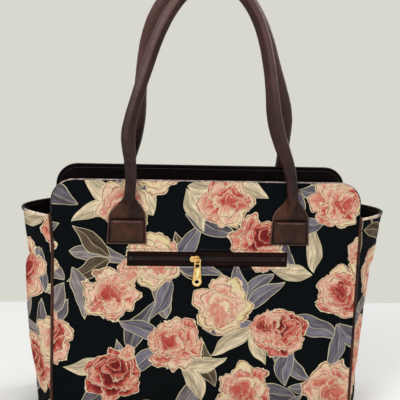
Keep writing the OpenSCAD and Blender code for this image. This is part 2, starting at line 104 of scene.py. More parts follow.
# How far the front panel's top left corner leans out
CORNER_LEAN = 4.5
CORNER_LOW = 225.0
CORNER_NEAR = 132.0

PIPING_R = 2.0
PIPING_X = 200.2
PIPING_S = 1.0
PIPING_LOW = 2.2
PIPING_TOP = 276.0

FACING_LOW = 282.0
FACING_S = 2.2
FACING_T = 1.2
FACING_SEAM = 3.4
FACING_INSET = 1.0
FACING_STITCH_LOW = 14.0
FACING_WAVE = 0.8
FACING_EASE = 0.35
FACING_ROLL = 0.4
END_FACING_LOW = 234.0
END_LAYER_X = 2.3
END_INSET = 3.4
END_SEAM = 4.0
END_SEAM_INSET = 3.0
SEAM_DEPTH = 0.3

LINING_T = 0.8
LINING_FLOOR = 5.0
LINING_TOP = 281.7
LINING_TUCK = 258.0
LINING_W = 390.0
LINING_S = {FRONT: 10.6, BACK: 5.5}
LINING_R = 6.0
LINING_RIPPLE = 0.9
LINING_LOW = 12.0
LAYER_GAP = 0.3

DIVIDER_Y0 = 13.55
DIVIDER_T = 6.0
DIVIDER_X = 194.0
DIVIDER_LOW = 6.1
DIVIDER_TOP = 230.1
DIVIDER_R = 18.0
QUILT_START = 30.0
QUILT_PITCH = 44.0
QUILT_DEPTH = 0.3
BINDING = (1.7, 1.2)
BINDING_LOW = 6.0

HANDLE_X = 106.0
HANDLE_R = 8.0
NECK_R = 7.0
NECK_HOLD = 22.0
NECK_TAPER = 42.0
# How far each front handle end leans aside at its neck
NECK_LEAN = {(FRONT, LEFT): 2.3, (FRONT, RIGHT): 0.6, (BACK, LEFT): 0.0, (BACK, RIGHT): 0.0}
HANDLE_RISE = 270.0
HANDLE_START = 301.3
NECK_S = -8.3
APEX_Y = 11.0
UPRIGHT_RISE = 22.7
# Points of each leg from its neck to the top: shares of the half spread inwards and of the rise
LEGS = {
    FRONT: (
        [
            (0, 0), (0.009, 0.074), (0.009, 0.185), (0, 0.278), (0.028, 0.37), (0.113, 0.489),
            (0.208, 0.604), (0.311, 0.722), (0.443, 0.833), (0.604, 0.922), (0.802, 0.981),
        ],
        [
            (0, 0), (0.028, 0.081), (0.066, 0.156), (0.16, 0.267), (0.236, 0.381), (0.283, 0.504),
            (0.33, 0.619), (0.396, 0.737), (0.5, 0.844), (0.651, 0.93), (0.83, 0.981),
        ],
    ),
    BACK: (
        [
            (0, 0), (0.057, 0.081), (0.113, 0.185), (0.151, 0.319), (0.16, 0.444),
            (0.179, 0.574), (0.217, 0.704), (0.302, 0.819), (0.453, 0.915), (0.698, 0.978),
        ],
        [
            (0, 0), (-0.038, 0.081), (-0.047, 0.2), (-0.028, 0.333), (0.057, 0.47),
            (0.16, 0.593), (0.274, 0.722), (0.415, 0.837), (0.575, 0.922), (0.774, 0.978),
        ],
    ),
}
# Where the rolled legs lie pressed wider: share of the rise, reach, how much, and the side it goes to
PRESSED = {
    (FRONT, LEFT): (0.28, 0.075, 0.13, LEFT),
    (FRONT, RIGHT): (0.34, 0.15, 0.24, LEFT),
    (BACK, LEFT): (0.30, 0.17, 0.11, RIGHT),
    (BACK, RIGHT): (0.35, 0.14, 0.17, RIGHT),
}
# The seam along a rolled handle, in degrees round it, and the strip that laps it
SEAM_TURN = 4.0
STRIP_START = 3.0
STRIP_END = 100.0
STITCH_TURN = 12.0
STRIP_RAISED = 0.16
STRIP_EDGE = 0.3
STRIP_SUNK = 0.5
STRIP_STITCH_SUNK = 0.2
HANDLE_FOOT = 3.0
BEND_START = -0.5

CHAPE_Z = 237.0
CHAPE_H = 64.0
CHAPE_W = 52.0
CHAPE_T = 2.2
CHAPE_GAP = 0.3
CHAPE_FLAT = 0.5
CHAPE_MARGIN = 3.0
CHAPE_SHOULDER = 2.0
# Relief of a handle end: its seam, the crease over its patch, its swell, pleats and collar
CHAPE_GROOVE = 1.1
CHAPE_CREASE = 1.1
CHAPE_PLUMP = 1.2
CHAPE_PLEAT = 0.85
CHAPE_COLLAR = 0.45
# Seam and rim of a handle end: the share of its height they reach, their inset, and how far they sink
CHAPE_SEAM = (0.62, CHAPE_MARGIN, 0.85)
CHAPE_RIM = (0.8, 0.9, 0.35)
RIM_R = 0.75
# Half widths of the dark strip of painted shadow in the crease over each patch
CREASE_SHADOW = (0.3, 0.95)
CREASE_SUNK = 0.75
PATCH_W = 43.6
PATCH_H = 28.8
PATCH_Z = 240.2
PATCH_S = -2.7
PATCH_T = 1.6
PATCH_MARGIN = 2.1
PATCH_STEPS = 14
PATCH_GROOVE = 0.6
PATCH_FOLD = 1.5
PATCH_STITCH_SUNK = 0.3
EDGE_R = 0.7
LIP_DROP = 2.0
LIP_OUT = 0.95
LIP = (0.9, 1.5)
CREASE_Z = PATCH_Z + PATCH_H + 1.0

ZIP_Z = 217.0
ZIP_W = 210.0
ZIP_WINDOW = 20.0
ZIP_SEAM_X = 3.6
ZIP_SEAM_Z = 3.4
WELT_S = 2.2
WELT_W = 222.0
WELT_REACH = 16.0
# A welt's section: distance from the zip's middle line, and depth of its front face
WELT_SECTION = [
    (2.8, 2.75), (2.95, 2.3), (3.3, 1.95), (4.2, 1.8), (5.3, 1.75), (6.1, 1.45), (7.0, 1.3), (8.0, 1.3),
    (9.0, 1.5), (9.7, 2.05), (10.2, WELT_S), (13.0, WELT_S), (WELT_REACH, WELT_S),
]
WELT_BACK = 3.2
WELT_LIP_BACK = 2.95
WELT_END = 1.2
TAPE_S = 3.4
TAPE_T = 0.6
TAPE_W = 214.0
TAPE_REACH = 15.6
TAPE_NEAR = 0.6
TAPE_RIB = 1.1
TAPE_RIB_DEPTH = 0.08
COIL_S = 2.65
COIL_LENGTH = 196.0
COIL_MID = 1.5
COIL_PITCH = 1.55
COIL_STEPS = 10
COIL_R = 0.33
COIL_DEPTH = 0.42
COIL_REACH = 0.55
COIL_START = {UPPER: 0.4, LOWER: COIL_PITCH / 2}
SLIDER_X = -17.0
SLIDER_L = 13.0
SLIDER_W = 9.6
# The slider's lower plate and the post between its plates: width, height and corner radius
LOWER_PLATE = (12.0, 7.0, 2.0)
POST = (4.0, 0.8, 0.3)
# Thickness, bevel and lift of the slider's upper plate, lower plate and post
SLIDER_LAYERS = [(2.0, 0.75, -0.6), (1.0, 0.25, -4.7), (4.0, 0.1, -2.8)]
BAIL_W = 3.2
BAIL_R = 0.45
BAIL_REACH = 2.15
BAIL_FOOT = 0.1
BAIL_RISE = 3.45
PIVOT_OUT = 2.05
PULL_X = 3.5
PULL_L = 36.0
PULL_W = 12.6
PULL_HEAD_W = 8.6
PULL_WINDOW_W = 5.0
PULL_WINDOW_L = 4.8
PULL_BAR = 1.4
PULL_BAR_R = 0.9
PULL_SLOT_L = 4.4
PULL_HOLE_R = 2.7
PULL_FLARE = 20
PULL_T = 1.8
PULL_BEVEL = 0.4
# The raised tongue and ring on the pull
TONGUE = (3.4, 12.4, 1.6)
TONGUE_X = 0.7
TONGUE_Y = -17.4
RING_OUT = 2.2
RING_IN = 0.2
RELIEF_T = 1.4
RELIEF_BEVEL = 0.6
RELIEF_LIFT = 0.4

STITCH_L = 3.3
STITCH_PITCH = 4.3
STITCH_R = 0.34
# A stitch's thickness along its length, by share of its half length
STITCH_SPOTS = np.array([-1.0, -0.72, 0.0, 0.72, 1.0])
STITCH_SIZES = np.array([0.15, 0.8, 1.0, 0.8, 0.15])

# Where each panel and end starts in the print, in metres
PANEL_PRINT = {FRONT: (0.040, 0.018), BACK: (0.157, 0.079)}
END_PRINT = np.array([0.41, 0.12])


# Places


def smooth_step(value):
    value = np.clip(value, 0, 1)
    return value * value * (3 - 2 * value)


def bell(value, width):
    return np.exp(-((value / width) ** 2))


def unit(vectors):
    return vectors / np.linalg.norm(vectors, axis=-1, keepdims=True)


def corner_lean(z):
    return CORNER_LEAN * smooth_step((z - CORNER_LOW) / (PANEL_H - TOP_R - CORNER_LOW))


def place(side, x, s, z):
    """Points of a panel's own frame, in metres: s is the depth behind its outer face, z runs up it."""
    x, s, z = np.broadcast_arrays(np.asarray(x, float), np.asarray(s, float), np.asarray(z, float))
    if side == FRONT:
        x = x - corner_lean(z) * smooth_step((-x - CORNER_NEAR) / (PANEL_W / 2 - CORNER_NEAR))
    y = HALF_BASE - s * math.cos(LEAN) - z * math.sin(LEAN)
    up = z * math.cos(LEAN) - s * math.sin(LEAN)
    return np.stack([x, side * y, up], axis=-1) * MM


def outward(side):
    """The way straight out of a panel, as a vector one unit long."""
    return unit(place(side, 0.0, -1.0, 0.0) - place(side, 0.0, 0.0, 0.0))


def gusset_half_depth(z):
    return GUSSET_EDGE - z * math.tan(LEAN)


def gusset_round(y, z):
    """How far an end's cloth swells at a depth and a height, as a share of its middle."""
    return 1 - np.minimum(1, np.abs(y) / gusset_half_depth(z)) ** GUSSET_ROUNDNESS


def gusset_face(y, z):
    """How far out a gusset's face lies at a depth and a height."""
    bulge = BULGE_BASE + (BULGE_RIM - BULGE_BASE) * (np.maximum(z, 0) / GUSSET_H) ** GUSSET_CURVE
    return GUSSET_X + bulge * gusset_round(y, z)


def gusset_points(end, y, z, inwards):
    """Points of an end's cloth, which puffs out between its seams and leans with the panel it joins."""
    out = gusset_face(y, z) + np.interp(z, PUFF_Z, PUFF[end]) * gusset_round(y, z)
    if end == LEFT:
        out = out + corner_lean(z) * smooth_step(-y / gusset_half_depth(z))
    return np.stack([end * (out - inwards), y, z], axis=-1) * MM


def between(at, along, values):
    return np.stack([np.interp(at, along, values[:, k]) for k in range(3)], axis=1)


def through(points, steps):
    """A smooth line through points, with a number of steps between each two."""
    points = np.asarray(points, float)
    padded = np.concatenate([points[:1], points, points[-1:]])
    t = np.linspace(0, 1, steps, endpoint=False)[:, None]
    line = []
    for p0, p1, p2, p3 in zip(padded, padded[1:], padded[2:], padded[3:]):
        bend = 2 * p0 - 5 * p1 + 4 * p2 - p3
        twist = 3 * p1 - p0 - 3 * p2 + p3
        line.append(0.5 * (2 * p1 + (p2 - p0) * t + bend * t**2 + twist * t**3))
    return np.concatenate(line + [points[-1:]])


def evenly(line, step):
    """Points a step apart along a line, and the direction of the line at each."""
    along = np.concatenate([[0], np.cumsum(np.linalg.norm(np.diff(line, axis=0), axis=1))])
    count = max(2, int(round(along[-1] / step)) + 1)
    points = between(np.linspace(0, along[-1], count), along, line)
    return points, unit(np.gradient(points, axis=0))


def arc(cx, cy, r, start, end, steps):
    angle = np.radians(np.linspace(start, end, steps))
    return [(cx + r * math.cos(a), cy + r * math.sin(a)) for a in angle]


def arch(half, low, top, r, counts):
    """An outline up its left side, over two rounded corners and down its right side."""
    sides, bends, across = counts
    left = [(-half, z) for z in np.linspace(low, top - r, sides)[:-1]]
    left += arc(-half + r, top - r, r, 180, 90, bends)
    over = [(x, top) for x in np.linspace(-half + r, half - r, across)[1:-1]]
    return np.array(left + over + [(-x, z) for x, z in left[::-1]])


def arched_rows(half, low, top, r, straight, bends):
    """Heights up a shape with two rounded upper corners, with its half width at each."""
    bend = top - r + r * np.sin(np.linspace(0, math.pi / 2, bends)[1:])
    z = np.concatenate([np.linspace(low, top - r, straight), bend])
    rise = np.clip((z - top + r) / r, 0, 1)
    return z, half - r * (1 - np.sqrt(1 - rise**2))


def around(half, low, high, steps):
    """A rectangle's outline from its top left corner down, round and back."""
    corners = np.array([(-half, high), (-half, low), (half, low), (half, high), (-half, high)])
    runs = [np.linspace(p, q, steps)[:-1] for p, q in zip(corners, corners[1:])]
    return np.concatenate(runs + [corners[-1:]])


def rounded_box(w, h, r, steps=8):
    points = []
    for quarter, (x, y) in enumerate([(1, 1), (-1, 1), (-1, -1), (1, -1)]):
        points += arc(x * (w / 2 - r), y * (h / 2 - r), r, 90 * quarter, 90 * quarter + 90, steps)
    return points


# Meshes


def piece(name, shape, material, node=None, body="bag", sharp=50.0):
    """A new piece from a shape's points in metres, faces and map of the print, where it has one."""
    verts, faces, uv = (*shape, None)[:3]
    mesh = bpy.data.meshes.new(name)
    mesh.from_pydata(np.asarray(verts, float).tolist(), [], faces)
    if uv is not None:
        corner = np.zeros(len(mesh.loops), np.int32)
        mesh.loops.foreach_get("vertex_index", corner)
        mesh.uv_layers.new(name="print").data.foreach_set("uv", uv[corner].astype(np.float32).ravel())
    work = bmesh.new()
    work.from_mesh(mesh)
    bmesh.ops.recalc_face_normals(work, faces=work.faces)
    work.to_mesh(mesh)
    work.free()
    mesh.polygons.foreach_set("use_smooth", [True] * len(mesh.polygons))
    mesh.set_sharp_from_angle(angle=math.radians(sharp))
    mesh.materials.append(material)
    obj = bpy.data.objects.new(name, mesh)
    bpy.context.scene.collection.objects.link(obj)
    if body is not None:
        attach(obj, body)
    if node is not None:
        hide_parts(node)
    return obj


def grid_faces(keep, flip=False):
    """The corners of each kept cell of a grid of points."""
    cols = keep.shape[1] + 1
    faces = []
    for i, j in np.argwhere(keep).tolist():
        a = i * cols + j
        quad = (a, a + 1, a + cols + 1, a + cols)
        faces.append(quad[::-1] if flip else quad)
    return faces


def closed_sheet(outer, inner, keep=None, uv=None):
    """Two grids of points joined round their edges, as verts, faces and map; keep leaves cells out."""
    rows, cols = outer.shape[:2]
    n = rows * cols
    if keep is None:
        keep = np.ones((rows - 1, cols - 1), bool)
    inside = np.pad(keep, 1)
    faces = []
    for (i, j), quad in zip(np.argwhere(keep).tolist(), grid_faces(keep)):
        faces += [quad, tuple(v + n for v in quad[::-1])]
        beside = (inside[i, j + 1], inside[i + 1, j + 2], inside[i + 2, j + 1], inside[i + 1, j])
        for k, covered in enumerate(beside):
            if not covered:
                p = quad[k]
                q = quad[(k + 1) % 4]
                faces.append((q, p, p + n, q + n))
    verts = np.concatenate([outer.reshape(-1, 3), inner.reshape(-1, 3)])
    used, flat = np.unique(np.array(faces), return_inverse=True)
    faces = [tuple(f) for f in flat.reshape(-1, 4).tolist()]
    both = None
    if uv is not None:
        both = np.concatenate([uv.reshape(-1, 2), uv.reshape(-1, 2)])[used]
    return verts[used], faces, both


def sweep(line, sections, toward):
    """Rings of a section carried along a line, in metres; toward is the section's first direction."""
    line = np.asarray(line, float)
    ways = unit(np.gradient(line, axis=0))
    toward = np.broadcast_to(np.asarray(toward, float), line.shape)
    first = unit(toward - (toward * ways).sum(1)[:, None] * ways)
    second = np.cross(ways, first)
    sections = np.broadcast_to(sections, (len(line),) + np.shape(sections)[-2:])
    rings = line[:, None] + sections[:, :, :1] * first[:, None] + sections[:, :, 1:] * second[:, None]
    count, sides = rings.shape[:2]
    faces = []
    for i in range(0, (count - 1) * sides, sides):
        for j in range(sides):
            k = (j + 1) % sides
            faces.append((i + j, i + k, i + sides + k, i + sides + j))
    faces.append(tuple(range(sides - 1, -1, -1)))
    faces.append(tuple(range((count - 1) * sides, count * sides)))
    return rings.reshape(-1, 3), faces


def oval(first, second, sides):
    """A section of a sweep, from two half widths in millimetres."""
    angle = np.linspace(0, 2 * math.pi, sides, endpoint=False)
    return np.stack([first * np.cos(angle), second * np.sin(angle)], axis=-1) * MM


def joined(parts):
    """Several pairs of verts and faces as one."""
    verts = []
    faces = []
    start = 0
    for v, f in parts:
        verts.append(v)
        faces.extend(tuple(i + start for i in face) for face in f)
        start += len(v)
    return np.concatenate(verts), faces


def stitches(line, out):
    """A row of sewn stitches along a line, lying on a surface that faces out."""
    points, ways = evenly(line, STITCH_PITCH * MM)
    out = np.broadcast_to(np.asarray(out, float), line.shape)
    outs = unit(between(np.linspace(0, 1, len(points)), np.linspace(0, 1, len(out)), out))
    sections = oval(STITCH_R, STITCH_R * 1.15, 6) * STITCH_SIZES[:, None, None]
    parts = []
    for point, way, up in zip(points, ways, outs):
        parts.append(sweep(point + np.outer(STITCH_SPOTS * STITCH_L / 2 * MM, way), sections, up))
    return joined(parts)


def carried(points, matrix):
    return np.array([tuple(matrix @ Vector(p)) for p in points])


def flat_part(outlines, thickness, bevel, matrix, lift):
    """A flat part with holes and rounded edges, drawn in X and Y, raised along Z and carried by a matrix."""
    curve = bpy.data.curves.new("outline", "CURVE")
    curve.dimensions = "2D"
    curve.fill_mode = "BOTH"
    curve.extrude = (thickness / 2 - bevel) * MM
    curve.bevel_depth = bevel * MM
    curve.bevel_resolution = 3
    curve.offset = -bevel * MM
    for outline in outlines:
        spline = curve.splines.new("POLY")
        spline.points.add(len(outline) - 1)
        for point, (x, y) in zip(spline.points, outline):
            point.co = (x * MM, y * MM, 0, 1)
        spline.use_cyclic_u = True
    holder = bpy.data.objects.new("outline", curve)
    mesh = bpy.data.meshes.new_from_object(holder)
    verts = carried([v.co for v in mesh.vertices], matrix @ Matrix.Translation((0, 0, lift * MM)))
    faces = [tuple(p.vertices) for p in mesh.polygons]
    bpy.data.objects.remove(holder)
    bpy.data.curves.remove(curve)
    bpy.data.meshes.remove(mesh)
    return verts, faces


# Cloth

SETTLE_FRAMES = 22
PANEL_SPARE = 0.018
GUSSET_SPARE = 0.006
CLOTH_SETTINGS = {
    "quality": 6,
    "mass": 0.3,
    "tension_stiffness": 25,
    "compression_stiffness": 25,
    "shear_stiffness": 12,
    "bending_stiffness": 2.0,
    "vertex_group_mass": "held",
    "use_pressure": True,
    "uniform_pressure_force": 2.2,
}


def settled(grid, keep, held, flip, spare):
    """A grid's points after a short cloth simulation: filled from inside, held where it is sewn."""
    mesh = bpy.data.meshes.new("settle")
    mesh.from_pydata(grid.reshape(-1, 3).tolist(), [], grid_faces(keep, flip))
    obj = bpy.data.objects.new("settle", mesh)
    scene = bpy.context.scene
    scene.collection.objects.link(obj)
    group = obj.vertex_groups.new(name="held")
    for i, weight in enumerate(held.ravel().tolist()):
        if weight > 0:
            group.add([i], weight, "REPLACE")
    cloth = obj.modifiers.new("settle", "CLOTH")
    for key, value in CLOTH_SETTINGS.items():
        setattr(cloth.settings, key, value)
    cloth.settings.shrink_min = -spare
    cloth.settings.effector_weights.gravity = 0
    cloth.collision_settings.use_collision = False
    for number in range(1, SETTLE_FRAMES + 1):
        scene.frame_set(number)
    shown = obj.evaluated_get(bpy.context.evaluated_depsgraph_get())
    points = np.array([v.co for v in shown.data.vertices], float).reshape(grid.shape)
    bpy.data.objects.remove(obj)
    bpy.data.meshes.remove(mesh)
    scene.frame_set(1)
    return points


# Materials


def shade(red, green, blue):
    """A display colour from 0 to 255 as the linear colour that nodes use."""
    given = [c / 255.0 for c in (red, green, blue)]
    return (*[c / 12.92 if c <= 0.04045 else ((c + 0.055) / 1.055) ** 2.4 for c in given], 1.0)


class Graph:
    """Adds nodes to a tree; a value is a socket to link or a constant to set."""

    def __init__(self, tree):
        self.tree = tree

    def put(self, socket, value):
        if isinstance(value, bpy.types.NodeSocket):
            self.tree.links.new(value, socket)
        else:
            socket.default_value = value

    def node(self, kind, values, **settings):
        """A new node's outputs; its values are given by input, in order or by name."""
        made = self.tree.nodes.new("ShaderNode" + kind)
        for key, value in settings.items():
            setattr(made, key, value)
        for key, value in values.items() if isinstance(values, dict) else enumerate(values):
            self.put(made.inputs[key], value)
        return made.outputs

    def math(self, operation, *values, clamp=False):
        return self.node("Math", values, operation=operation, use_clamp=clamp)[0]

    def vector(self, operation, *values):
        made = self.node("VectorMath", values, operation=operation)
        return made["Value" if operation == "LENGTH" else "Vector"]

    def scaled(self, vector, scale):
        return self.node("VectorMath", {0: vector, "Scale": scale}, operation="SCALE")["Vector"]

    def turned(self, at, angle):
        return self.node("VectorRotate", {"Vector": at, "Angle": angle}, rotation_type="Z_AXIS")[0]

    def parts(self, vector):
        return self.node("SeparateXYZ", [vector])

    def join(self, *values):
        return self.node("CombineXYZ", values)[0]

    def mix(self, share, first, second):
        return self.node("Mix", {0: share, 6: first, 7: second}, data_type="RGBA")[2]

    def step(self, value, low, high, start=0.0, end=1.0):
        return self.node("MapRange", (value, low, high, start, end), interpolation_type="SMOOTHSTEP")[0]

    def colours(self, value, stops, interpolation="LINEAR"):
        made = self.node("ValToRGB", [value])[0]
        ramp = made.node.color_ramp
        ramp.interpolation = interpolation
        while len(ramp.elements) < len(stops):
            ramp.elements.new(1.0)
        for mark, (at, colour) in zip(ramp.elements, stops):
            mark.position = at
            mark.color = colour
        return made

    def noise(self, at, scale, detail=2.0, roughness=0.5, output="Fac"):
        values = {"Vector": at, "Scale": scale, "Detail": detail, "Roughness": roughness}
        return self.node("TexNoise", values)[output]

    def cells(self, at, scale, feature):
        return self.node("TexVoronoi", {"Vector": at, "Scale": scale}, feature=feature)["Distance"]

    def weave(self, x, y):
        return self.math("MULTIPLY", self.math("SINE", x), self.math("SINE", y))

    def bump(self, height, strength, distance, **below):
        values = {"Height": height, "Strength": strength, "Distance": distance}
        return self.node("Bump", {**values, **below})[0]

    def place(self):
        return self.node("TexCoord", ())["Object"]

    def finish(self, colour, rough, **more):
        """Sets the material's look; further inputs are given with _ for a space in the name."""
        shader = self.tree.nodes["Principled BSDF"]
        for name, value in {"Base_Color": colour, "Roughness": rough, **more}.items():
            self.put(shader.inputs[name.replace("_", " ")], value)


def new_material(name):
    material = bpy.data.materials.new(name)
    material.use_nodes = True
    return material, Graph(material.node_tree)


def new_group(name, **inputs):
    """A group of nodes with inputs of the named kinds, a colour to put out, and the sockets of both."""
    tree = bpy.data.node_groups.new(name, "ShaderNodeTree")
    for label, kind in inputs.items():
        tree.interface.new_socket(label, in_out="INPUT", socket_type="NodeSocket" + kind)
    tree.interface.new_socket("Colour", in_out="OUTPUT", socket_type="NodeSocketColor")
    given = tree.nodes.new("NodeGroupInput").outputs
    return tree, Graph(tree), given, tree.nodes.new("NodeGroupOutput").inputs


CREAM = shade(233, 212, 174)
RUST = shade(140, 60, 50)
PALE_EDGE = shade(214, 202, 164)
MIDDLE = (0.5, 0.5, 0.5)

# Rings of a flower from the outside in: reach, petals, turn, and how much darker its tones are
FLOWER_RINGS = [
    (1.00, 6.0, 0.0, 0.00),
    (0.80, 5.0, 0.7, 0.03),
    (0.60, 5.0, 1.9, 0.08),
    (0.41, 4.0, 0.4, 0.15),
    (0.23, 3.0, 1.2, 0.22),
]
# Tones of a petal from its heart to its edge
PETAL_TONES = [
    (0.10, shade(112, 34, 34)),
    (0.30, shade(190, 76, 66)),
    (0.48, shade(216, 138, 114)),
    (0.66, shade(230, 184, 158)),
    (0.86, CREAM),
    (1.0, shade(228, 212, 158)),
]
LEAF_TONES = [
    (0.0, shade(124, 118, 128)),
    (0.34, shade(104, 98, 106)),
    (0.52, shade(142, 132, 132)),
    (0.64, shade(96, 80, 64)),
    (0.83, shade(222, 202, 168)),
]
# Leaf layers of the print: cell width and height, shift, seed, length and width, and whether paired
LEAF_LAYERS = [
    (97.0, 79.0, (61.0, 4.0, 0.0), 3.0, 67.0, 24.0, False),
    (116.0, 98.0, (20.0, 54.0, 0.0), 11.0, 56.0, 21.0, True),
    (97.0, 79.0, (86.0, 42.0, 0.0), 23.0, 62.0, 22.0, False),
    (116.0, 98.0, (86.0, 20.0, 0.0), 37.0, 54.0, 20.0, True),
]
# Flower layers of the print: cell width and height, shift, seed, least and most radius, and jitter
FLOWER_LAYERS = [
    (130.0, 106.0, (0.0, 0.0, 0.0), 5.0, 30.0, 38.0, (40.0, 26.0, 0.0)),
    (130.0, 106.0, (57.0, 50.0, 0.0), 17.0, 27.0, 38.0, (40.0, 26.0, 0.0)),
    (118.0, 94.0, (30.0, 62.0, 0.0), 29.0, 10.0, 20.0, (60.0, 44.0, 0.0)),
]
PRINT_SCALE = 1.18
PAIR_SPREAD = math.radians(34)
LEAF_STAGGER = 0.5
FLOWER_STAGGER = 0.12
THREAD_PITCH = 0.8


def flower_group():
    """A flower of layered petals, drawn over what lies below it."""
    tree, g, given, result = new_group(
        "Flower", At="Vector", Radius="Float", Turn="Float", Blush="Float", Tilt="Vector", Below="Color"
    )
    at = g.scaled(given["At"], g.math("DIVIDE", 1.0, given["Radius"]))
    spoke = g.scaled(g.vector("NORMALIZE", at), 5.0)
    streak = g.noise(g.vector("ADD", spoke, g.scaled(at, 2.2)), 1.0, 3.0)
    shift = g.math("MULTIPLY_ADD", given["Blush"], -0.36, g.math("MULTIPLY_ADD", streak, 1.0, -0.74))
    heart = g.math("MULTIPLY_ADD", streak, 0.5, g.math("MULTIPLY_ADD", given["Blush"], -0.5, 0.28))
    colour = given["Below"]
    for size, petals, turn, darker in FLOWER_RINGS:
        tilted = g.vector("ADD", at, g.scaled(given["Tilt"], 1.0 - size))
        across = g.parts(tilted)
        angle = g.math("ADD", g.math("ARCTAN2", across[1], across[0]), given["Turn"])
        phase = g.math("MULTIPLY_ADD", angle, petals / 2, turn)
        wave = g.math("ABSOLUTE", g.math("COSINE", phase))
        number = g.math("FLOOR", g.math("MULTIPLY_ADD", phase, 1 / math.pi, 0.5))
        petal = g.math("MULTIPLY_ADD", g.math("FLOORED_MODULO", number, petals), 1.37, given["Turn"])
        seed = g.math("ADD", petal, turn)
        chance = g.node("TexWhiteNoise", {"W": seed}, noise_dimensions="1D")["Value"]
        edge = g.math("MULTIPLY_ADD", g.math("POWER", wave, 0.55), 0.22 * size, 0.78 * size)
        share = g.math("DIVIDE", g.vector("LENGTH", tilted), edge)
        level = g.math("MULTIPLY_ADD", share, 1.25, shift)
        level = g.math("ADD", level, g.math("MULTIPLY_ADD", chance, 0.42, -0.21 - darker))
        tone = g.colours(g.math("MAXIMUM", level, heart), PETAL_TONES)
        split = g.math("MULTIPLY", g.step(wave, 0.0, 0.16, 1.0, 0.0), g.step(share, 0.5, 0.85))
        line = g.math("MAXIMUM", split, g.step(share, 0.9, 0.94))
        drawn = g.mix(g.math("MULTIPLY", line, 0.72), tone, RUST)
        drawn = g.mix(g.step(share, 0.955, 0.975), drawn, CREAM)
        colour = g.mix(g.step(share, 0.992, 1.008, 1.0, 0.0), colour, drawn)
    g.put(result["Colour"], colour)
    return tree


def leaf_group():
    """A leaf along its own X from its stalk, with brushed tones, a fine midrib and a pale outline."""
    tree, g, given, result = new_group(
        "Leaf", At="Vector", Length="Float", Width="Float", Bend="Float", Tone="Color", Below="Color"
    )
    across = g.parts(given["At"])
    along = g.math("DIVIDE", across[0], given["Length"], clamp=True)
    hump = g.math("SINE", g.math("MULTIPLY", g.math("POWER", along, 0.85), math.pi))
    up = g.math("SUBTRACT", across[1], g.math("MULTIPLY", hump, given["Bend"]))
    side = g.math("ABSOLUTE", up)
    half = g.math("MULTIPLY_ADD", hump, g.math("MULTIPLY", given["Width"], 0.5), -0.4)
    depth = g.math("SUBTRACT", half, side)
    brushed = g.join(g.math("MULTIPLY", across[0], 0.06), g.math("MULTIPLY", up, 0.42))
    stroke = g.noise(brushed, 1.0, 3.0)
    level = g.math("MULTIPLY", g.step(stroke, 0.3, 0.7, 0.55, 1.25), g.step(up, -1.5, 1.5, 1.0, 0.74))
    tone = g.mix(g.step(side, 0.2, 0.6, 0.45, 0.0), g.scaled(given["Tone"], level), PALE_EDGE)
    tone = g.mix(g.step(depth, 0.45, 0.95, 1.0, 0.0), tone, PALE_EDGE)
    g.put(result["Colour"], g.mix(g.step(depth, -0.15, 0.15), given["Below"], tone))
    return tree


def lattice_group():
    """Cells in rows that step aside by turns: where a point lies in its cell, and its three chances."""
    tree, g, given, result = new_group(
        "Lattice", At="Vector", Width="Float", Height="Float", Stagger="Float", Seed="Float"
    )
    tree.interface.new_socket("Local", in_out="OUTPUT", socket_type="NodeSocketVector")
    width = given["Width"]
    across = g.parts(given["At"])
    row = g.math("FLOOR", g.math("DIVIDE", across[1], given["Height"]))
    odd = g.math("FLOORED_MODULO", row, 2.0)
    pushed = g.math("MULTIPLY_ADD", g.math("MULTIPLY", odd, given["Stagger"]), width, across[0])
    column = g.math("FLOOR", g.math("DIVIDE", pushed, width))
    x = g.math("SUBTRACT", pushed, g.math("MULTIPLY", g.math("ADD", column, 0.5), width))
    y = g.math("SUBTRACT", across[1], g.math("MULTIPLY", g.math("ADD", row, 0.5), given["Height"]))
    cell = g.join(column, row, given["Seed"])
    g.put(result["Colour"], g.node("TexWhiteNoise", {"Vector": cell}, noise_dimensions="3D")["Color"])
    g.put(result["Local"], g.join(x, y))
    return tree


def in_cell(g, lattice, at, layer, stagger):
    """A point's place in its cell of a layer and the cell's three chances."""
    width, height, shift, seed = layer[:4]
    moved = g.vector("SUBTRACT", at, shift)
    values = {"At": moved, "Width": width, "Height": height, "Stagger": stagger, "Seed": seed}
    made = g.node("Group", values, node_tree=lattice)
    return made["Local"], made["Colour"]


def leaf_layer(g, lattice, leaf, at, below, layer):
    """One leaf, or two from one stalk, in each cell, turned and toned by chance."""
    length, breadth, paired = layer[4:]
    local, chance = in_cell(g, lattice, at, layer, LEAF_STAGGER)
    chances = g.parts(chance)
    spot = g.turned(local, g.math("MULTIPLY", chances[0], 2 * math.pi))
    if paired:
        stalk = g.vector("ADD", spot, (length * 0.45, 0.0, 0.0))
        folded = g.vector("MULTIPLY_ADD", g.vector("ABSOLUTE", stalk), (0.0, 1.0, 0.0), (0.0, -1.2, 0.0))
        upright = g.vector("MULTIPLY", stalk, (1.0, 0.0, 0.0))
        spot = g.turned(g.vector("ADD", upright, folded), -PAIR_SPREAD)
    else:
        spot = g.vector("ADD", spot, (length / 2, 0.0, 0.0))
    values = {
        "At": spot,
        "Length": length,
        "Width": breadth,
        "Bend": g.math("MULTIPLY_ADD", chances[2], 14.0, -7.0),
        "Tone": g.colours(chances[1], LEAF_TONES, "CONSTANT"),
        "Below": below,
    }
    return g.node("Group", values, node_tree=leaf)[0]


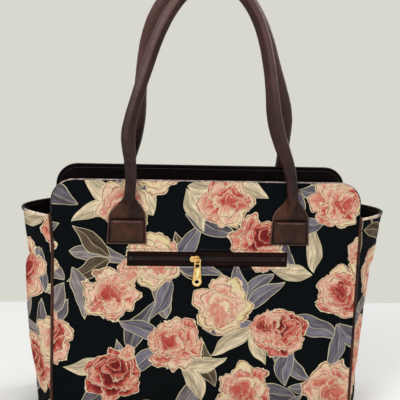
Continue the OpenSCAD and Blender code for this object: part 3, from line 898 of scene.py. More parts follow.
def flower_layer(g, lattice, flower, at, below, layer):
    """One flower in each cell, sized, turned and blushed by chance."""
    least, most, jitter = layer[4:]
    local, chance = in_cell(g, lattice, at, layer, FLOWER_STAGGER)
    chances = g.parts(chance)
    middle = g.vector("SUBTRACT", chance, MIDDLE)
    values = {
        "At": g.vector("SUBTRACT", local, g.vector("MULTIPLY", middle, jitter)),
        "Radius": g.math("MULTIPLY_ADD", chances[2], most - least, least),
        "Turn": g.math("MULTIPLY", chances[0], 2 * math.pi),
        "Blush": chances[1],
        "Tilt": g.vector("MULTIPLY", middle, (0.8, -0.8, 0.0)),
        "Below": below,
    }
    return g.node("Group", values, node_tree=flower)[0]


def astray(g, at, scale, detail, reach):
    """A point pushed about by noise, so that drawn edges waver."""
    push = g.vector("SUBTRACT", g.noise(at, scale, detail, 0.55, "Color"), MIDDLE)
    return g.vector("ADD", at, g.scaled(push, reach))


def tapestry_material():
    """Dark woven cloth with flowers and leaves, ribbed by its threads."""
    material, g = new_material("tapestry")
    flower = flower_group()
    leaf = leaf_group()
    lattice = lattice_group()
    mapped = g.node("UVMap", (), uv_map="print")[0]
    at = g.scaled(mapped, 1 / MM)
    drawn = g.scaled(mapped, 1 / MM / PRINT_SCALE)
    eased = astray(g, drawn, 0.03, 1.0, 14.0)
    ruffled = astray(g, astray(g, drawn, 0.045, 1.0, 20.0), 0.13, 2.0, 8.0)
    colour = shade(7, 11, 14)
    for layer in LEAF_LAYERS:
        colour = leaf_layer(g, lattice, leaf, eased, colour, layer)
    for layer in FLOWER_LAYERS:
        colour = flower_layer(g, lattice, flower, ruffled, colour, layer)
    fleck = g.noise(g.vector("MULTIPLY", at, (0.9, 1.9, 1.0)), 1.0, 1.0)
    wear_and_sheen = g.scaled(colour, g.step(fleck, 0.25, 0.75, 0.64, 1.08))
    threads = g.parts(g.scaled(at, 2 * math.pi / THREAD_PITCH))
    normal = g.bump(g.weave(threads[0], threads[1]), 0.35, 0.00025)
    g.finish(wear_and_sheen, 0.85, Normal=normal, Specular_IOR_Level=0.06)
    return material


# Heights in metres between which a handle's leather turns paler, a painted sheen where the light from above
# falls, and the least share of that tone
SHEEN_LOW = 0.36
SHEEN_HIGH = 0.50
SHEEN_LEAST = 0.5
# Where the panels' edges turn pale going up, and the gussets' hems going forward, in metres
HEM_PALE = (0.309, 0.3185)
RIM_PALE = (0.026, 0.044)


def leather_material(name, dark, light, gloss, shine=0.3, wear_and_sheen=None):
    """Pebbled leather with soft creases and wrinkles, darker in its hollows as painted shade, and, where a
    paler tone is given, paler higher up as a painted sheen.
    """
    material, g = new_material(name)
    at = g.place()
    pebble = g.cells(at, 780.0, "SMOOTH_F1")
    crease = g.noise(at, 95.0, 5.0, 0.6)
    cloud = g.noise(at, 22.0, 3.0)
    wrinkle = g.noise(g.vector("MULTIPLY", at, (50.0, 50.0, 190.0)), 1.0, 3.0)
    # Random cloud with a share of the crease height: the creases' hollows come out darker, as painted shade.
    tone = g.math("ADD", g.math("MULTIPLY", cloud, 0.65), g.math("MULTIPLY", crease, 0.35))
    shown = g.mix(g.step(tone, 0.32, 0.68), shade(*dark), shade(*light))
    # Painted sheen: where a paler tone is given, the leather turns to it higher up, where the light from
    # above falls.
    if wear_and_sheen is not None:
        paler = g.mix(g.step(tone, 0.32, 0.68, SHEEN_LEAST, 1.0), shade(*light), shade(*wear_and_sheen))
        shown = g.mix(g.step(g.parts(at)[2], SHEEN_LOW, SHEEN_HIGH), shown, paler)
    creased = g.bump(crease, 0.22, 0.0009, Normal=g.bump(pebble, 0.28, 0.0004))
    normal = g.bump(wrinkle, 0.2, 0.0012, Normal=creased)
    g.finish(shown, g.step(crease, 0.3, 0.7, *gloss), Normal=normal, Specular_IOR_Level=shine)
    return material


def cloth_material(name, dark, light, pitch):
    """Plain woven cloth with fine crossing threads."""
    material, g = new_material(name)
    at = g.place()
    threads = g.parts(g.scaled(at, 2 * math.pi / pitch))
    weave = g.weave(g.math("ADD", threads[0], threads[1]), threads[2])
    fleck = g.noise(at, 420.0)
    colour = g.mix(g.step(fleck, 0.3, 0.7), shade(*dark), shade(*light))
    rough = g.step(fleck, 0.3, 0.7, 0.7, 0.9)
    g.finish(colour, rough, Normal=g.bump(weave, 0.3, 0.0002), Sheen_Weight=0.1)
    return material


def turned_edge(name, grain, dark, pales, rough, share):
    """A turned edge of cloth, dark but for a pale stretch where a share says."""
    material, g = new_material(name)
    at = g.place()
    fleck = g.noise(at, grain, 4.0)
    pale = g.mix(g.step(fleck, 0.35, 0.65), shade(*pales[0]), shade(*pales[1]))
    colour = g.mix(share(g, at, fleck), shade(*dark), pale)
    normal = g.bump(g.noise(at, 900.0), 0.4, 0.0003)
    g.finish(colour, g.step(fleck, 0.3, 0.7, rough, rough + 0.2), Normal=normal)
    return material


def along_top(g, at, fleck):
    """The panels' edges are pale along the top and dark at the corners."""
    return g.step(g.parts(at)[2], *HEM_PALE)


def near_front(g, at, fleck):
    """The gussets' hems are pale towards the front seams and dark round the rest of the rim."""
    ahead = g.math("MULTIPLY", g.parts(at)[1], -1.0)
    return g.step(g.math("MULTIPLY_ADD", fleck, 0.03, ahead), *RIM_PALE)


def metal_material(name, tone, wear_and_sheen, rough):
    """Plated metal with fine brushing and a tone slightly rubbed in places."""
    material, g = new_material(name)
    at = g.place()
    brushed = g.noise(g.vector("MULTIPLY", at, (300.0, 300.0, 2400.0)), 1.0, 3.0)
    colour = g.mix(g.step(g.noise(at, 260.0), 0.35, 0.7), shade(*tone), shade(*wear_and_sheen))
    gloss = g.step(brushed, 0.25, 0.75, rough, rough + 0.12)
    g.finish(colour, gloss, Normal=g.bump(brushed, 0.06, 0.0001), Metallic=1.0)
    return material


def foam_material():
    """Open foam that is hidden inside the sewn layers."""
    material, g = new_material("foam")
    pore = g.cells(g.place(), 600.0, "F1")
    # The pores' hollows, where the bump is lowest, are darker: painted shade.
    colour = g.mix(pore, shade(120, 117, 112), shade(160, 156, 150))
    g.finish(colour, g.step(pore, 0.0, 1.0, 0.85, 0.95), Normal=g.bump(pore, 0.5, 0.0006))
    return material


TAPESTRY = tapestry_material()
LEATHER = leather_material("leather", (26, 11, 7), (73, 42, 27), (0.36, 0.52), 0.17)
# The handles' leather has a painted sheen: paler towards the top of the handles, where the light from above
# falls.
HANDLE_LEATHER = leather_material(
    "handle_leather", (20, 9, 7), (54, 31, 25), (0.34, 0.48), 0.22, wear_and_sheen=(84, 57, 53)
)
# Paler leather for the rims of the handle ends and the lips of the patches: a painted highlight where their
# raised edges catch the light.
HIGHLIGHT_LEATHER = leather_material("highlight_leather", (62, 38, 30), (104, 72, 61), (0.36, 0.52), 0.24)
# Near-black leather for the facings inside the bag: painted shade, as little light reaches in there.
SHADED_FACING_LEATHER = leather_material("facing_leather", (7, 4, 4), (18, 10, 9), (0.45, 0.6), 0.07)
FACING_THREAD = cloth_material("facing_thread", (44, 34, 32), (78, 64, 60), 0.0005)
WELT_LEATHER = leather_material("welt_leather", (17, 6, 4), (30, 12, 8), (0.45, 0.6), 0.06)
LINING = cloth_material("lining", (20, 17, 18), (36, 31, 32), 0.0009)
TAPE = cloth_material("zip_tape", (14, 9, 9), (26, 18, 17), 0.0008)
RIM = turned_edge("rim_hem", 120.0, (20, 17, 17), [(178, 152, 136), (222, 202, 178)], 0.7, near_front)
HEM = turned_edge("hem", 160.0, (24, 22, 24), [(96, 84, 84), (176, 154, 144)], 0.65, along_top)
COIL = leather_material("zip_coil", (40, 28, 26), (58, 44, 41), (0.35, 0.45))
SEWING = cloth_material("sewing_thread", (10, 6, 5), (28, 16, 14), 0.0005)
# Near-black leather: the dark edges round the patches and along the back panel's top, and painted shadow in
# the crease over each patch.
EDGE_PAINT_AND_SHADOW = leather_material("edge_paint_and_shadow", (10, 5, 4), (20, 10, 9), (0.4, 0.55), 0.12)
# Leather of the strip on each handle's inner side, darker in part as painted shade there.
SHADED_STRIP_LEATHER = leather_material("shaded_strip_leather", (36, 17, 16), (60, 34, 31), (0.4, 0.54), 0.2)
GOLD = metal_material("gilt_metal", (240, 204, 136), (208, 156, 86), 0.14)
# A paler gold for the pull's raised tongue and ring: painted highlight standing for the metal's bright
# reflections.
HIGHLIT_GOLD = metal_material("highlit_gilt", (252, 238, 182), (236, 204, 130), 0.1)
FOAM = foam_material()


# Panels


def panel_rows():
    """Heights up a panel, with the half width of its outline at each."""
    half = PANEL_W / 2
    low = np.linspace(0, math.pi / 2, 6)
    high = np.linspace(0, math.pi / 2, 11)[1:]
    window = ZIP_WINDOW / 2
    marks = [PANEL_BOTTOM + BOTTOM_R, ZIP_Z - window, ZIP_Z + window, PANEL_H - TOP_R]
    runs = [np.linspace(a, b, n)[1:] for a, b, n in zip(marks, marks[1:], (49, 6, 18))]
    straight = np.concatenate(runs)
    z = [PANEL_BOTTOM + BOTTOM_R * (1 - np.cos(low)), straight, PANEL_H - TOP_R + TOP_R * np.sin(high)]
    low_half = half - BOTTOM_R * (1 - np.sin(low))
    high_half = half - TOP_R * (1 - np.cos(high))
    return np.concatenate(z), np.concatenate([low_half, np.full(len(straight), half), high_half])


def panel_columns():
    """Shares of the half width, with columns at the ends of the zip's window."""
    end = ZIP_W / PANEL_W
    return np.concatenate(
        [np.linspace(-1, -end, 25)[:-1], np.linspace(-end, end, 55)[:-1], np.linspace(end, 1, 25)]
    )


def sewn_reach(side, x, z):
    """How far points of a panel lie from what holds it: its edges, handle ends and zip."""
    near = np.minimum(PANEL_W / 2 - np.abs(x), z - PANEL_BOTTOM)
    near = np.minimum(near, np.maximum(FACING_LOW - FACING_ROOM - z, 0))
    half = CHAPE_W / 2 + SEWN_ROOM
    boxes = [(end * HANDLE_X, half, CHAPE_Z - SEWN_ROOM, PANEL_H) for end in ENDS]
    if side == FRONT:
        boxes.append((0.0, ZIP_W / 2 + ZIP_ROOM, ZIP_Z - PULL_L - PULL_ROOM, ZIP_Z + WELT_REACH))
    for middle, half, low, high in boxes:
        dx = np.maximum(np.abs(x - middle) - half, 0)
        dz = np.maximum(np.maximum(low - z, z - high), 0)
        near = np.minimum(near, np.hypot(dx, dz))
    return near


def panel_cloth(side):
    """A woven panel that swells a little where nothing is sewn to it."""
    z_rows, widths = panel_rows()
    x = widths[:, None] * panel_columns()
    z = np.broadcast_to(z_rows[:, None], x.shape)
    keep = np.ones((x.shape[0] - 1, x.shape[1] - 1), bool)
    if side == FRONT:
        mid_z = (z[:-1, :-1] + z[1:, :-1]) / 2
        mid_x = (x[:-1, :-1] + x[:-1, 1:]) / 2
        keep = (np.abs(mid_z - ZIP_Z) >= ZIP_WINDOW / 2) | (np.abs(mid_x) >= ZIP_W / 2)
    reach = sewn_reach(side, x, z)
    flat = place(side, x, 0.0, z)
    moved = settled(flat, keep, 1 - smooth_step(reach / PANEL_HOLD), side == BACK, PANEL_SPARE)
    swell = np.clip((moved - flat) @ outward(side) / MM, SWELL_LOW, SWELL_CAP)
    swell = swell * smooth_step(reach / PANEL_EASE)
    uv = np.stack([side * -x, z], axis=-1) * MM + PANEL_PRINT[side]
    shape = closed_sheet(place(side, x, -swell, z), place(side, x, CLOTH_T - swell, z), keep, uv)
    name = SIDES[side]
    obj = piece(name + "_cloth", shape, TAPESTRY, name + "_panel")


def top_line(side, s, low, grow):
    """The top outline of a panel from a height on its left edge to that on its right."""
    run = arch(PANEL_W / 2 + grow, low, PANEL_H + grow, TOP_R + grow, (4, 14, 60))
    return place(side, run[:, 0], s, run[:, 1])


def panel_hem(side):
    """The turned edge round the top of a panel, over the cloth and its facing."""
    line = top_line(side, HEM_S, GUSSET_H + HEM_ABOVE, HEM_GROW)
    shape = sweep(line, oval(HEM_DEPTH, HEM_RISE, 12), -outward(side))
    piece(SIDES[side] + "_hem", shape, HEM if side == FRONT else EDGE_PAINT_AND_SHADOW)


def panel_facing(side):
    """The leather band inside a panel's top edge, sewn along the edge."""
    half = PANEL_W / 2 - FACING_INSET
    r = TOP_R - FACING_INSET
    corner = PANEL_H - r
    z_rows, widths = arched_rows(half, FACING_LOW, PANEL_H, r, 5, 18)
    x = widths[:, None] * np.linspace(-1, 1, 90)
    z = np.broadcast_to(z_rows[:, None], x.shape)
    wave = FACING_WAVE * np.sin(x / 23.0 + 0.6)
    z = z - wave * (1 - smooth_step((z - FACING_LOW) / 20.0))
    corner_x = np.maximum(np.abs(x) - (half - r), 0)
    corner_z = np.maximum(z - corner, 0)
    edge = np.minimum(PANEL_H - z, half - np.abs(x))
    edge = np.where((corner_x > 0) & (corner_z > 0), r - np.hypot(corner_x, corner_z), edge)
    ease = FACING_EASE * np.sin(x / 31.0) * np.sin((z - FACING_LOW) / 12.0)
    roll = FACING_ROLL * bell(edge, 1.6)
    thick = FACING_T - SEAM_DEPTH * bell(edge - FACING_SEAM, 0.7) + roll + np.maximum(ease, 0)
    shape = closed_sheet(place(side, x, FACING_S, z), place(side, x, FACING_S + thick, z))
    name = SIDES[side] + "_facing"
    piece(name + "_leather", shape, SHADED_FACING_LEATHER, name)
    low = GUSSET_H + FACING_STITCH_LOW
    line = top_line(side, FACING_S + FACING_T, low, -FACING_SEAM - FACING_INSET)
    piece(name + "_stitches", stitches(line, -outward(side)), FACING_THREAD)


def piping(side):
    """The leather piping along the sides and bottom of a panel."""
    r = PIPING_X - PANEL_W / 2 + BOTTOM_R
    run = arch(PIPING_X, -PIPING_TOP, -PIPING_LOW, r, (66, 12, 90)) * (1, -1)
    line = place(side, run[:, 0], PIPING_S, run[:, 1])
    number = np.arange(len(line))
    size = 1 + 0.05 * np.sin(number * 1.7) * np.sin(number * 0.43)
    size[[0, -1]] = 0.5
    sections = oval(PIPING_R, PIPING_R, 12) * size[:, None, None]
    name = SIDES[side] + "_piping"
    piece(name + "_leather", sweep(line, sections, -outward(side)), LEATHER, name)


# Ends and base

# How far each end's cloth has moved out, by rows of height and columns of depth
gusset_swell = {}


def gusset_push(end, y, z):
    """How far the layers behind an end's cloth are pushed in where the cloth folds inwards."""
    swell = gusset_swell[end]
    rows, cols = swell.shape
    row = np.clip(z / GUSSET_H, 0, 1) * (rows - 1)
    col = np.clip((y / gusset_half_depth(z) + 1) / 2, 0, 1) * (cols - 1)
    i = np.minimum(row.astype(int), rows - 2)
    j = np.minimum(col.astype(int), cols - 2)
    low = swell[i, j] + (swell[i, j + 1] - swell[i, j]) * (col - j)
    high = swell[i + 1, j] + (swell[i + 1, j + 1] - swell[i + 1, j]) * (col - j)
    return np.maximum(-(low + (high - low) * (row - i)), 0)


def end_grid(rows, cols, low, high, inset):
    """Depths and heights of a grid over an end, inset from its seams."""
    z = np.broadcast_to(np.linspace(low, high, rows)[:, None], (rows, cols))
    return np.linspace(-1, 1, cols) * (gusset_half_depth(z) - inset), z


def end_layer(end, y, z, back, thick):
    return closed_sheet(gusset_points(end, y, z, back), gusset_points(end, y, z, back + thick))


def gusset_cloth(end):
    """A woven end that flares at the rim, with the soft folds of cloth that is held at its seams."""
    y, z = end_grid(70, 41, 0, GUSSET_H, 0)
    keep = np.ones((69, 40), bool)
    reach = np.minimum(np.minimum(gusset_half_depth(z) - np.abs(y), z), GUSSET_H - z)
    flat = gusset_points(end, y, z, 0.0)
    moved = settled(flat, keep, 1 - smooth_step(reach / GUSSET_HOLD), end == LEFT, GUSSET_SPARE)
    swell = np.clip((moved - flat)[:, :, 0] * end / MM, -GUSSET_CAP, GUSSET_CAP)
    fold = -FOLD_DEPTH * bell(y, FOLD_W) * smooth_step((z - FOLD_LOW) / (FOLD_HIGH - FOLD_LOW))
    swell = (swell + fold) * smooth_step(reach / GUSSET_EASE)
    gusset_swell[end] = swell
    along = np.cumsum(np.linalg.norm(np.diff(flat, axis=1, prepend=flat[:, :1]), axis=2), axis=1)
    uv = np.stack([end * (along - along[:, 20:21]), z * MM], axis=-1) + END_PRINT * end
    shape = closed_sheet(
        gusset_points(end, y, z, -swell), gusset_points(end, y, z, CLOTH_T - swell), keep, uv
    )
    name = ENDS[end] + "_gusset"
    obj = piece(name + "_cloth", shape, TAPESTRY, name)


def gusset_hem(end):
    """The pale turned hem over a gusset's rim, reaching further down outside than inside."""
    y = np.linspace(-1, 1, 61) * (gusset_half_depth(GUSSET_H) - RIM_HEM_END)
    wave = RIM_HEM_WAVE * np.sin(y / 5.5) * np.sin(y / 13.0 + 1.0)
    lowest = RIM_HEM_OUTER[0][1]

    def laid(profile):
        rows = []
        for inwards, rise in profile:
            height = GUSSET_H + rise + wave * (rise == lowest)
            points = gusset_points(end, y, np.minimum(height, GUSSET_H), inwards)
            points[:, 2] = height * MM
            rows.append(points)
        return np.array(rows)

    shape = closed_sheet(laid(RIM_HEM_OUTER), laid(RIM_HEM_INNER))
    piece(ENDS[end] + "_rim_hem", shape, RIM, sharp=70)


def end_facing(end):
    """The leather band inside a gusset's rim."""
    y, z = end_grid(16, 41, END_FACING_LOW, GUSSET_H, END_INSET)
    thick = FACING_T - SEAM_DEPTH * bell(GUSSET_H - z - END_SEAM, 0.8)
    shape = end_layer(end, y, z, END_LAYER_X + gusset_push(end, y, z), thick)
    name = ENDS[end] + "_facing"
    piece(name + "_leather", shape, SHADED_FACING_LEATHER, name)
    row = np.linspace(-1, 1, 60) * (gusset_half_depth(GUSSET_H) - END_INSET - END_SEAM_INSET)
    level = np.full_like(row, GUSSET_H - END_SEAM)
    line = gusset_points(end, row, level, END_LAYER_X + gusset_push(end, row, level) + FACING_T)
    piece(name + "_stitches", stitches(line, (-end, 0, 0)), SEWING)


def base_cloth():
    """The woven base, reaching out to the bulging ends."""
    y_max = GUSSET_EDGE - LAYER_GAP
    y = np.broadcast_to(np.linspace(-y_max, y_max, 33)[:, None], (33, 81))
    ends = gusset_face(y, np.zeros_like(y)) - CLOTH_T - LAYER_GAP
    x = ends * np.linspace(-1, 1, 81)
    edge = np.minimum(y_max - np.abs(y), ends - np.abs(x))
    lift = BASE_LIFT * (1 - smooth_step(edge / BASE_EDGE))
    low = np.stack([x, y, lift], axis=-1) * MM
    high = np.stack([x, y, np.full_like(x, CLOTH_T)], axis=-1) * MM
    shape = closed_sheet(low, high, uv=low[:, :, :2])
    obj = piece("base_cloth", shape, TAPESTRY, "base_panel")


# Inside


def lining_wall(side):
    """A wall of the lining from under its facing down to the floor, as points of Y and Z."""
    s = LINING_S[side]
    share = np.linspace(0, 1, 9)
    tucked_s = FACING_S + (s - FACING_S) * smooth_step((share - 0.25) / 0.75)
    tucked = place(side, 0, tucked_s, LINING_TOP - share * (LINING_TOP - LINING_TUCK))
    straight = place(side, 0, s, np.linspace(LINING_TUCK, LINING_FLOOR + LINING_R, 46)[1:])
    foot = place(side, 0, s, LINING_FLOOR)[1] / MM
    angle = np.radians([30, 60, 90])
    bend_y = foot - side * LINING_R * (1 - np.cos(angle))
    bend = np.stack([bend_y, LINING_FLOOR + LINING_R * (1 - np.sin(angle))], axis=1)
    return np.concatenate([tucked[:, 1:] / MM, straight[:, 1:] / MM, bend])


def lining():
    """The lining's front wall, floor and back wall as one strip, tucked under the facings."""
    front = lining_wall(FRONT)
    back = lining_wall(BACK)
    floor = np.linspace(front[-1], back[-1], 18)[1:-1]
    profile = np.concatenate([front, floor, back[::-1]])
    y = profile[:, 0]
    z = profile[:, 1:]
    way = unit(np.gradient(profile, axis=0))
    into = np.stack([-way[:, 1], way[:, 0]], axis=1)[:, None, :]
    ends = gusset_face(y, np.zeros_like(y)) - END_LAYER_X - LINING_T - LAYER_GAP
    spare = np.maximum(ends - LINING_W / 2, 0)[:, None] * smooth_step((LINING_LOW - z) / 6.0)
    x = (LINING_W / 2 + spare) * np.linspace(-1, 1, 91)
    high = smooth_step((z - LINING_LOW) / 60.0) * smooth_step((LINING_TUCK - z) / 40.0)
    ripple = LINING_RIPPLE * high * (np.sin(x / 17.0 + z / 61.0) * np.sin(z / 43.0 + 0.5) + 1)
    wall = profile[:, None, :] + into * ripple[:, :, None]
    outer = np.concatenate([x[:, :, None], wall], axis=2) * MM
    inner = np.concatenate([x[:, :, None], wall + into * LINING_T], axis=2) * MM
    obj = piece("lining_cloth", closed_sheet(outer, inner), LINING, "lining")


def end_lining(end):
    """The lining of one end, up to its facing."""
    top = END_FACING_LOW - LAYER_GAP
    y, z = end_grid(50, 37, LINING_FLOOR, top, END_INSET)
    free = smooth_step((z - 15) / 40.0) * smooth_step((top - z) / 30.0)
    free = free * smooth_step((gusset_half_depth(z) - END_INSET - np.abs(y)) / 12.0)
    ripple = free * (np.sin(y / 7.0 + z / 37.0) * np.sin(z / 29.0) + 1)
    shape = end_layer(end, y, z, END_LAYER_X + gusset_push(end, y, z) + ripple, LINING_T)
    name = ENDS[end] + "_lining"
    obj = piece(name + "_cloth", shape, LINING, name)


def divider():
    """The padded wall of the laptop compartment: plump between quilted rows, bound along its edges."""
    z_rows, widths = arched_rows(DIVIDER_X, DIVIDER_LOW, DIVIDER_TOP, DIVIDER_R, 60, 12)
    x = widths[:, None] * np.linspace(-1, 1, 111)
    z = np.broadcast_to(z_rows[:, None], x.shape)
    edge = np.minimum(np.minimum(z - DIVIDER_LOW, DIVIDER_TOP - z), widths[:, None] - np.abs(x))
    plump = 0.42 + 0.58 * np.sqrt(smooth_step(edge / 9.0))
    row = (z - QUILT_START) / QUILT_PITCH
    quilted = bell((row - np.round(row)) * QUILT_PITCH, 2.4) * smooth_step(edge / 6.0)
    plump = plump - QUILT_DEPTH * quilted
    middle = DIVIDER_Y0 + DIVIDER_T / 2
    faces = [np.stack([x, middle + way * DIVIDER_T / 2 * plump, z], axis=-1) * MM for way in (-1, 1)]
    obj = piece("divider_pad", closed_sheet(*faces), LINING, "laptop_divider", sharp=80)
    run = arch(DIVIDER_X, DIVIDER_LOW + BINDING_LOW, DIVIDER_TOP, DIVIDER_R, (30, 10, 60))
    line = np.stack([run[:, 0], np.full(len(run), middle), run[:, 1]], axis=1) * MM
    piece("divider_binding", sweep(line, oval(*BINDING, 10), (0, 1, 0)), WELT_LEATHER)


# Handles


def chape_bend(t):
    """How far a handle end has turned from flat to rolled, by a share of its height."""
    return np.clip((t - CHAPE_FLAT) / (1 - CHAPE_FLAT), 0, 1)


def chape_half_width(t):
    low = CHAPE_W / 2
    shoulder = low - CHAPE_SHOULDER
    upper = NECK_R + (shoulder - NECK_R) * (1 + np.cos(math.pi * chape_bend(t) ** 1.3)) / 2
    return np.where(t < CHAPE_FLAT, low + (shoulder - low) * t / CHAPE_FLAT, upper)


def chape_line(side, end, top, inset, sunk):
    """The outline of a handle end, inset, from a share of its height down, across and up again."""
    rise = np.linspace(top, inset / CHAPE_H, 30)
    left = np.stack([inset - chape_half_width(rise), rise], axis=1)
    low = np.linspace(left[-1], left[-1] * (-1, 1), 20)[1:-1]
    run = np.concatenate([left, low, left[::-1] * (-1, 1)])
    return chape_place(side, end, run[:, 0], CHAPE_T - sunk, run[:, 1])


def chape_place(side, end, x, out, t):
    """Points of a handle end, which leans aside at its neck, by a share of its height."""
    lean = NECK_LEAN[(side, end)] * smooth_step(chape_bend(t))
    return place(side, end * HANDLE_X + x + lean, -(CHAPE_GAP + out), CHAPE_Z + t * CHAPE_H)


def handle_end(side, end):
    """A flared leather end that lies flat where it is sewn and rolls up into the handle."""
    near_crease = CREASE_Z - CHAPE_Z + np.array([-1.4, -0.7, -0.35, 0, 0.35, 0.7, 1.4, 2.2])
    t_rows = [[0, 0.006, 0.014, 0.024], np.linspace(0.036, 1, 60), near_crease / CHAPE_H]
    t = np.sort(np.concatenate(t_rows))[:, None]
    half = chape_half_width(t)
    x = half * np.sin(np.linspace(-1, 1, 91) * math.pi / 2)
    t = np.broadcast_to(t, x.shape)
    z = CHAPE_Z + t * CHAPE_H
    edge = np.minimum(half - np.abs(x), z - CHAPE_Z)
    bent = chape_bend(t)
    # The roll grows out of a soft hump into the round of the handle
    hump = np.cos(np.clip(np.abs(x) / (NECK_R + 7.0 * (1 - bent)), 0, 1) * math.pi / 2) ** 2
    tube = np.sqrt(np.clip(1 - (x / (NECK_R + 0.02)) ** 2, 0, 1))
    share = bent**1.5
    rolled = (HANDLE_R + NECK_R - CHAPE_T) * smooth_step(bent) * ((1 - share) * hump + share * tube)
    # The leather thins at its edges, sinks at its seams, swells over the patch and pleats into the roll
    thick = CHAPE_T * (0.35 + 0.65 * smooth_step(edge / 1.5 + 0.1))
    thick = np.where(t > 0.9, np.maximum(thick, CHAPE_T * smooth_step((t - 0.9) * 10)), thick)
    groove = CHAPE_GROOVE * bell(edge - CHAPE_MARGIN, 0.8) * (1 - smooth_step((t - 0.55) / 0.3))
    crease = CHAPE_CREASE * bell(z - CREASE_Z, 0.9) * smooth_step((PATCH_W / 2 + 1 - np.abs(x)) / 2.0)
    plump = CHAPE_PLUMP * bell(t - 0.6, 0.06) * smooth_step((edge - 3) / 7.0)
    pleat = CHAPE_PLEAT * bell(np.abs(x) - 3.6 - 6.5 * (1 - bent), 0.95)
    pleat = pleat * smooth_step((t - 0.6) / 0.15) * smooth_step((0.97 - t) / 0.1)
    collar = CHAPE_COLLAR * bell(t - 0.985, 0.02)
    out = thick - groove - crease + plump + rolled - pleat + collar
    shape = closed_sheet(chape_place(side, end, x, out, t), chape_place(side, end, x, 0.0, t))
    name = SIDES[side] + "_" + ENDS[end] + "_handle_end"
    piece(name + "_leather", shape, LEATHER, name, sharp=60)
    away = outward(side)
    seam = chape_line(side, end, *CHAPE_SEAM)
    piece(name + "_stitches", stitches(seam, away), SEWING)
    # The rim round a handle end is paler leather, a painted highlight along its raised border.
    rim = chape_line(side, end, *CHAPE_RIM)
    piece(name + "_rim", sweep(rim, oval(RIM_R, RIM_R, 10), away), HIGHLIGHT_LEATHER)
    # A dark strip lying in the crease over the patch: painted shadow in the gap under the rolled leather.
    row = np.linspace(-1, 1, 24) * (PATCH_W / 2 - 0.8)
    line = place(side, end * HANDLE_X + row, CREASE_SUNK - CHAPE_GAP - CHAPE_T, CREASE_Z + 0.1)
    sizes = np.minimum(1, (PATCH_W / 2 - np.abs(row)) / 4.0)[:, None, None]
    piece(name + "_edge", sweep(line, oval(*CREASE_SHADOW, 10) * sizes, away), EDGE_PAINT_AND_SHADOW)


def patch(side, end):
    """The leather patch sewn over the lower half of a handle end."""
    def patch_place(x, s, z):
        return place(side, end * HANDLE_X + x, PATCH_S - s, PATCH_Z + z)

    def patch_run(inset, s):
        run = around(PATCH_W / 2 - inset, inset, PATCH_H - inset, PATCH_STEPS)
        return patch_place(run[:, 0], s, run[:, 1])

    def lines(length, count):
        border = np.array([0.0, 0.25, 0.7, 1.1, 1.5, 1.8, 2.1, 2.4, 2.7, 3.2])
        return np.concatenate([border, np.linspace(4.2, length - 4.2, count), length - border[::-1]])

    x, z = np.meshgrid(lines(PATCH_W, 22) - PATCH_W / 2, lines(PATCH_H, 14))
    below_top = PATCH_H - z
    sewn_edge = np.minimum(PATCH_W / 2 - np.abs(x), z)
    edge = np.minimum(sewn_edge, below_top)
    across = np.cos(x / PATCH_W * math.pi) * np.sin(z / PATCH_H * math.pi)
    thick = PATCH_T * (0.3 + 0.7 * smooth_step(edge / 1.3 + 0.08)) + across
    thick = thick - PATCH_GROOVE * bell(sewn_edge - PATCH_MARGIN, 0.6) * smooth_step(below_top / 4.0)
    thick = thick + PATCH_FOLD * bell(below_top - 2.2, 1.7) * smooth_step(sewn_edge / 2.0)
    name = SIDES[side] + "_" + ENDS[end] + "_patch"
    shape = closed_sheet(patch_place(x, thick, z), patch_place(x, 0.0, z))
    piece(name + "_leather", shape, LEATHER, name, sharp=60)
    away = outward(side)
    seam = patch_run(PATCH_MARGIN, PATCH_T - PATCH_STITCH_SUNK)[: 1 - PATCH_STEPS]
    piece(name + "_stitches", stitches(seam, away), SEWING)
    # A paler bead along the patch's rolled top: a painted highlight where it faces the light.
    row = np.linspace(-1, 1, 40) * (PATCH_W / 2 - 1.6)
    line = patch_place(row, PATCH_T + LIP_OUT, PATCH_H - LIP_DROP)
    sizes = np.minimum(1, (PATCH_W / 2 - np.abs(row)) / 6.0) * (0.92 + 0.08 * np.sin(row / 2.6))
    sections = oval(*LIP, 14) * sizes[:, None, None]
    piece(name + "_lip", sweep(line, sections, away), HIGHLIGHT_LEATHER)
    # Dark edge paint round the patch, which also stands for the shade in the gap under the patch's edge.
    shape = sweep(patch_run(0.1, EDGE_R), oval(EDGE_R, EDGE_R, 8), away)
    piece(name + "_edge", shape, EDGE_PAINT_AND_SHADOW)


def handle_line(side):
    """The middle line of a handle from its left neck over the top to its right neck, in millimetres."""
    left_leg, right_leg = LEGS[side]
    neck = place(FRONT, 0.0, NECK_S, HANDLE_START) / MM

    def at(x, rise):
        lean_in = max(0.0, rise - UPRIGHT_RISE) / (HANDLE_RISE - UPRIGHT_RISE)
        return (x, neck[1] + (-APEX_Y - neck[1]) * lean_in, neck[2] + rise)

    left = [at(-HANDLE_X * (1 - inset), rise * HANDLE_RISE) for inset, rise in left_leg]
    right = [at(HANDLE_X * (1 - inset), rise * HANDLE_RISE) for inset, rise in right_leg[::-1]]
    top = at(HANDLE_X * (left_leg[-1][0] - right_leg[-1][0]) / 2, HANDLE_RISE)
    line = through(left + [top] + right, 8)
    line[:, 1] *= -side
    return line


def handle_size(degrees):
    """A rolled handle's radius by the angle from its seam: round, a little flat beside the seam."""
    return HANDLE_R * (1 - 0.075 * bell(np.abs(degrees) - 34, 16.0))


def turned_section(size, degrees):
    turn = np.radians(degrees)
    return np.stack([size * np.cos(turn), size * np.sin(turn)], axis=-1)


def handle_section():
    degrees = np.concatenate([np.linspace(-54, 54, 37), np.linspace(54, 306, 32)[1:-1]])
    seam = np.where(degrees > 180, degrees - 360, degrees)
    return turned_section(handle_size(seam), degrees)


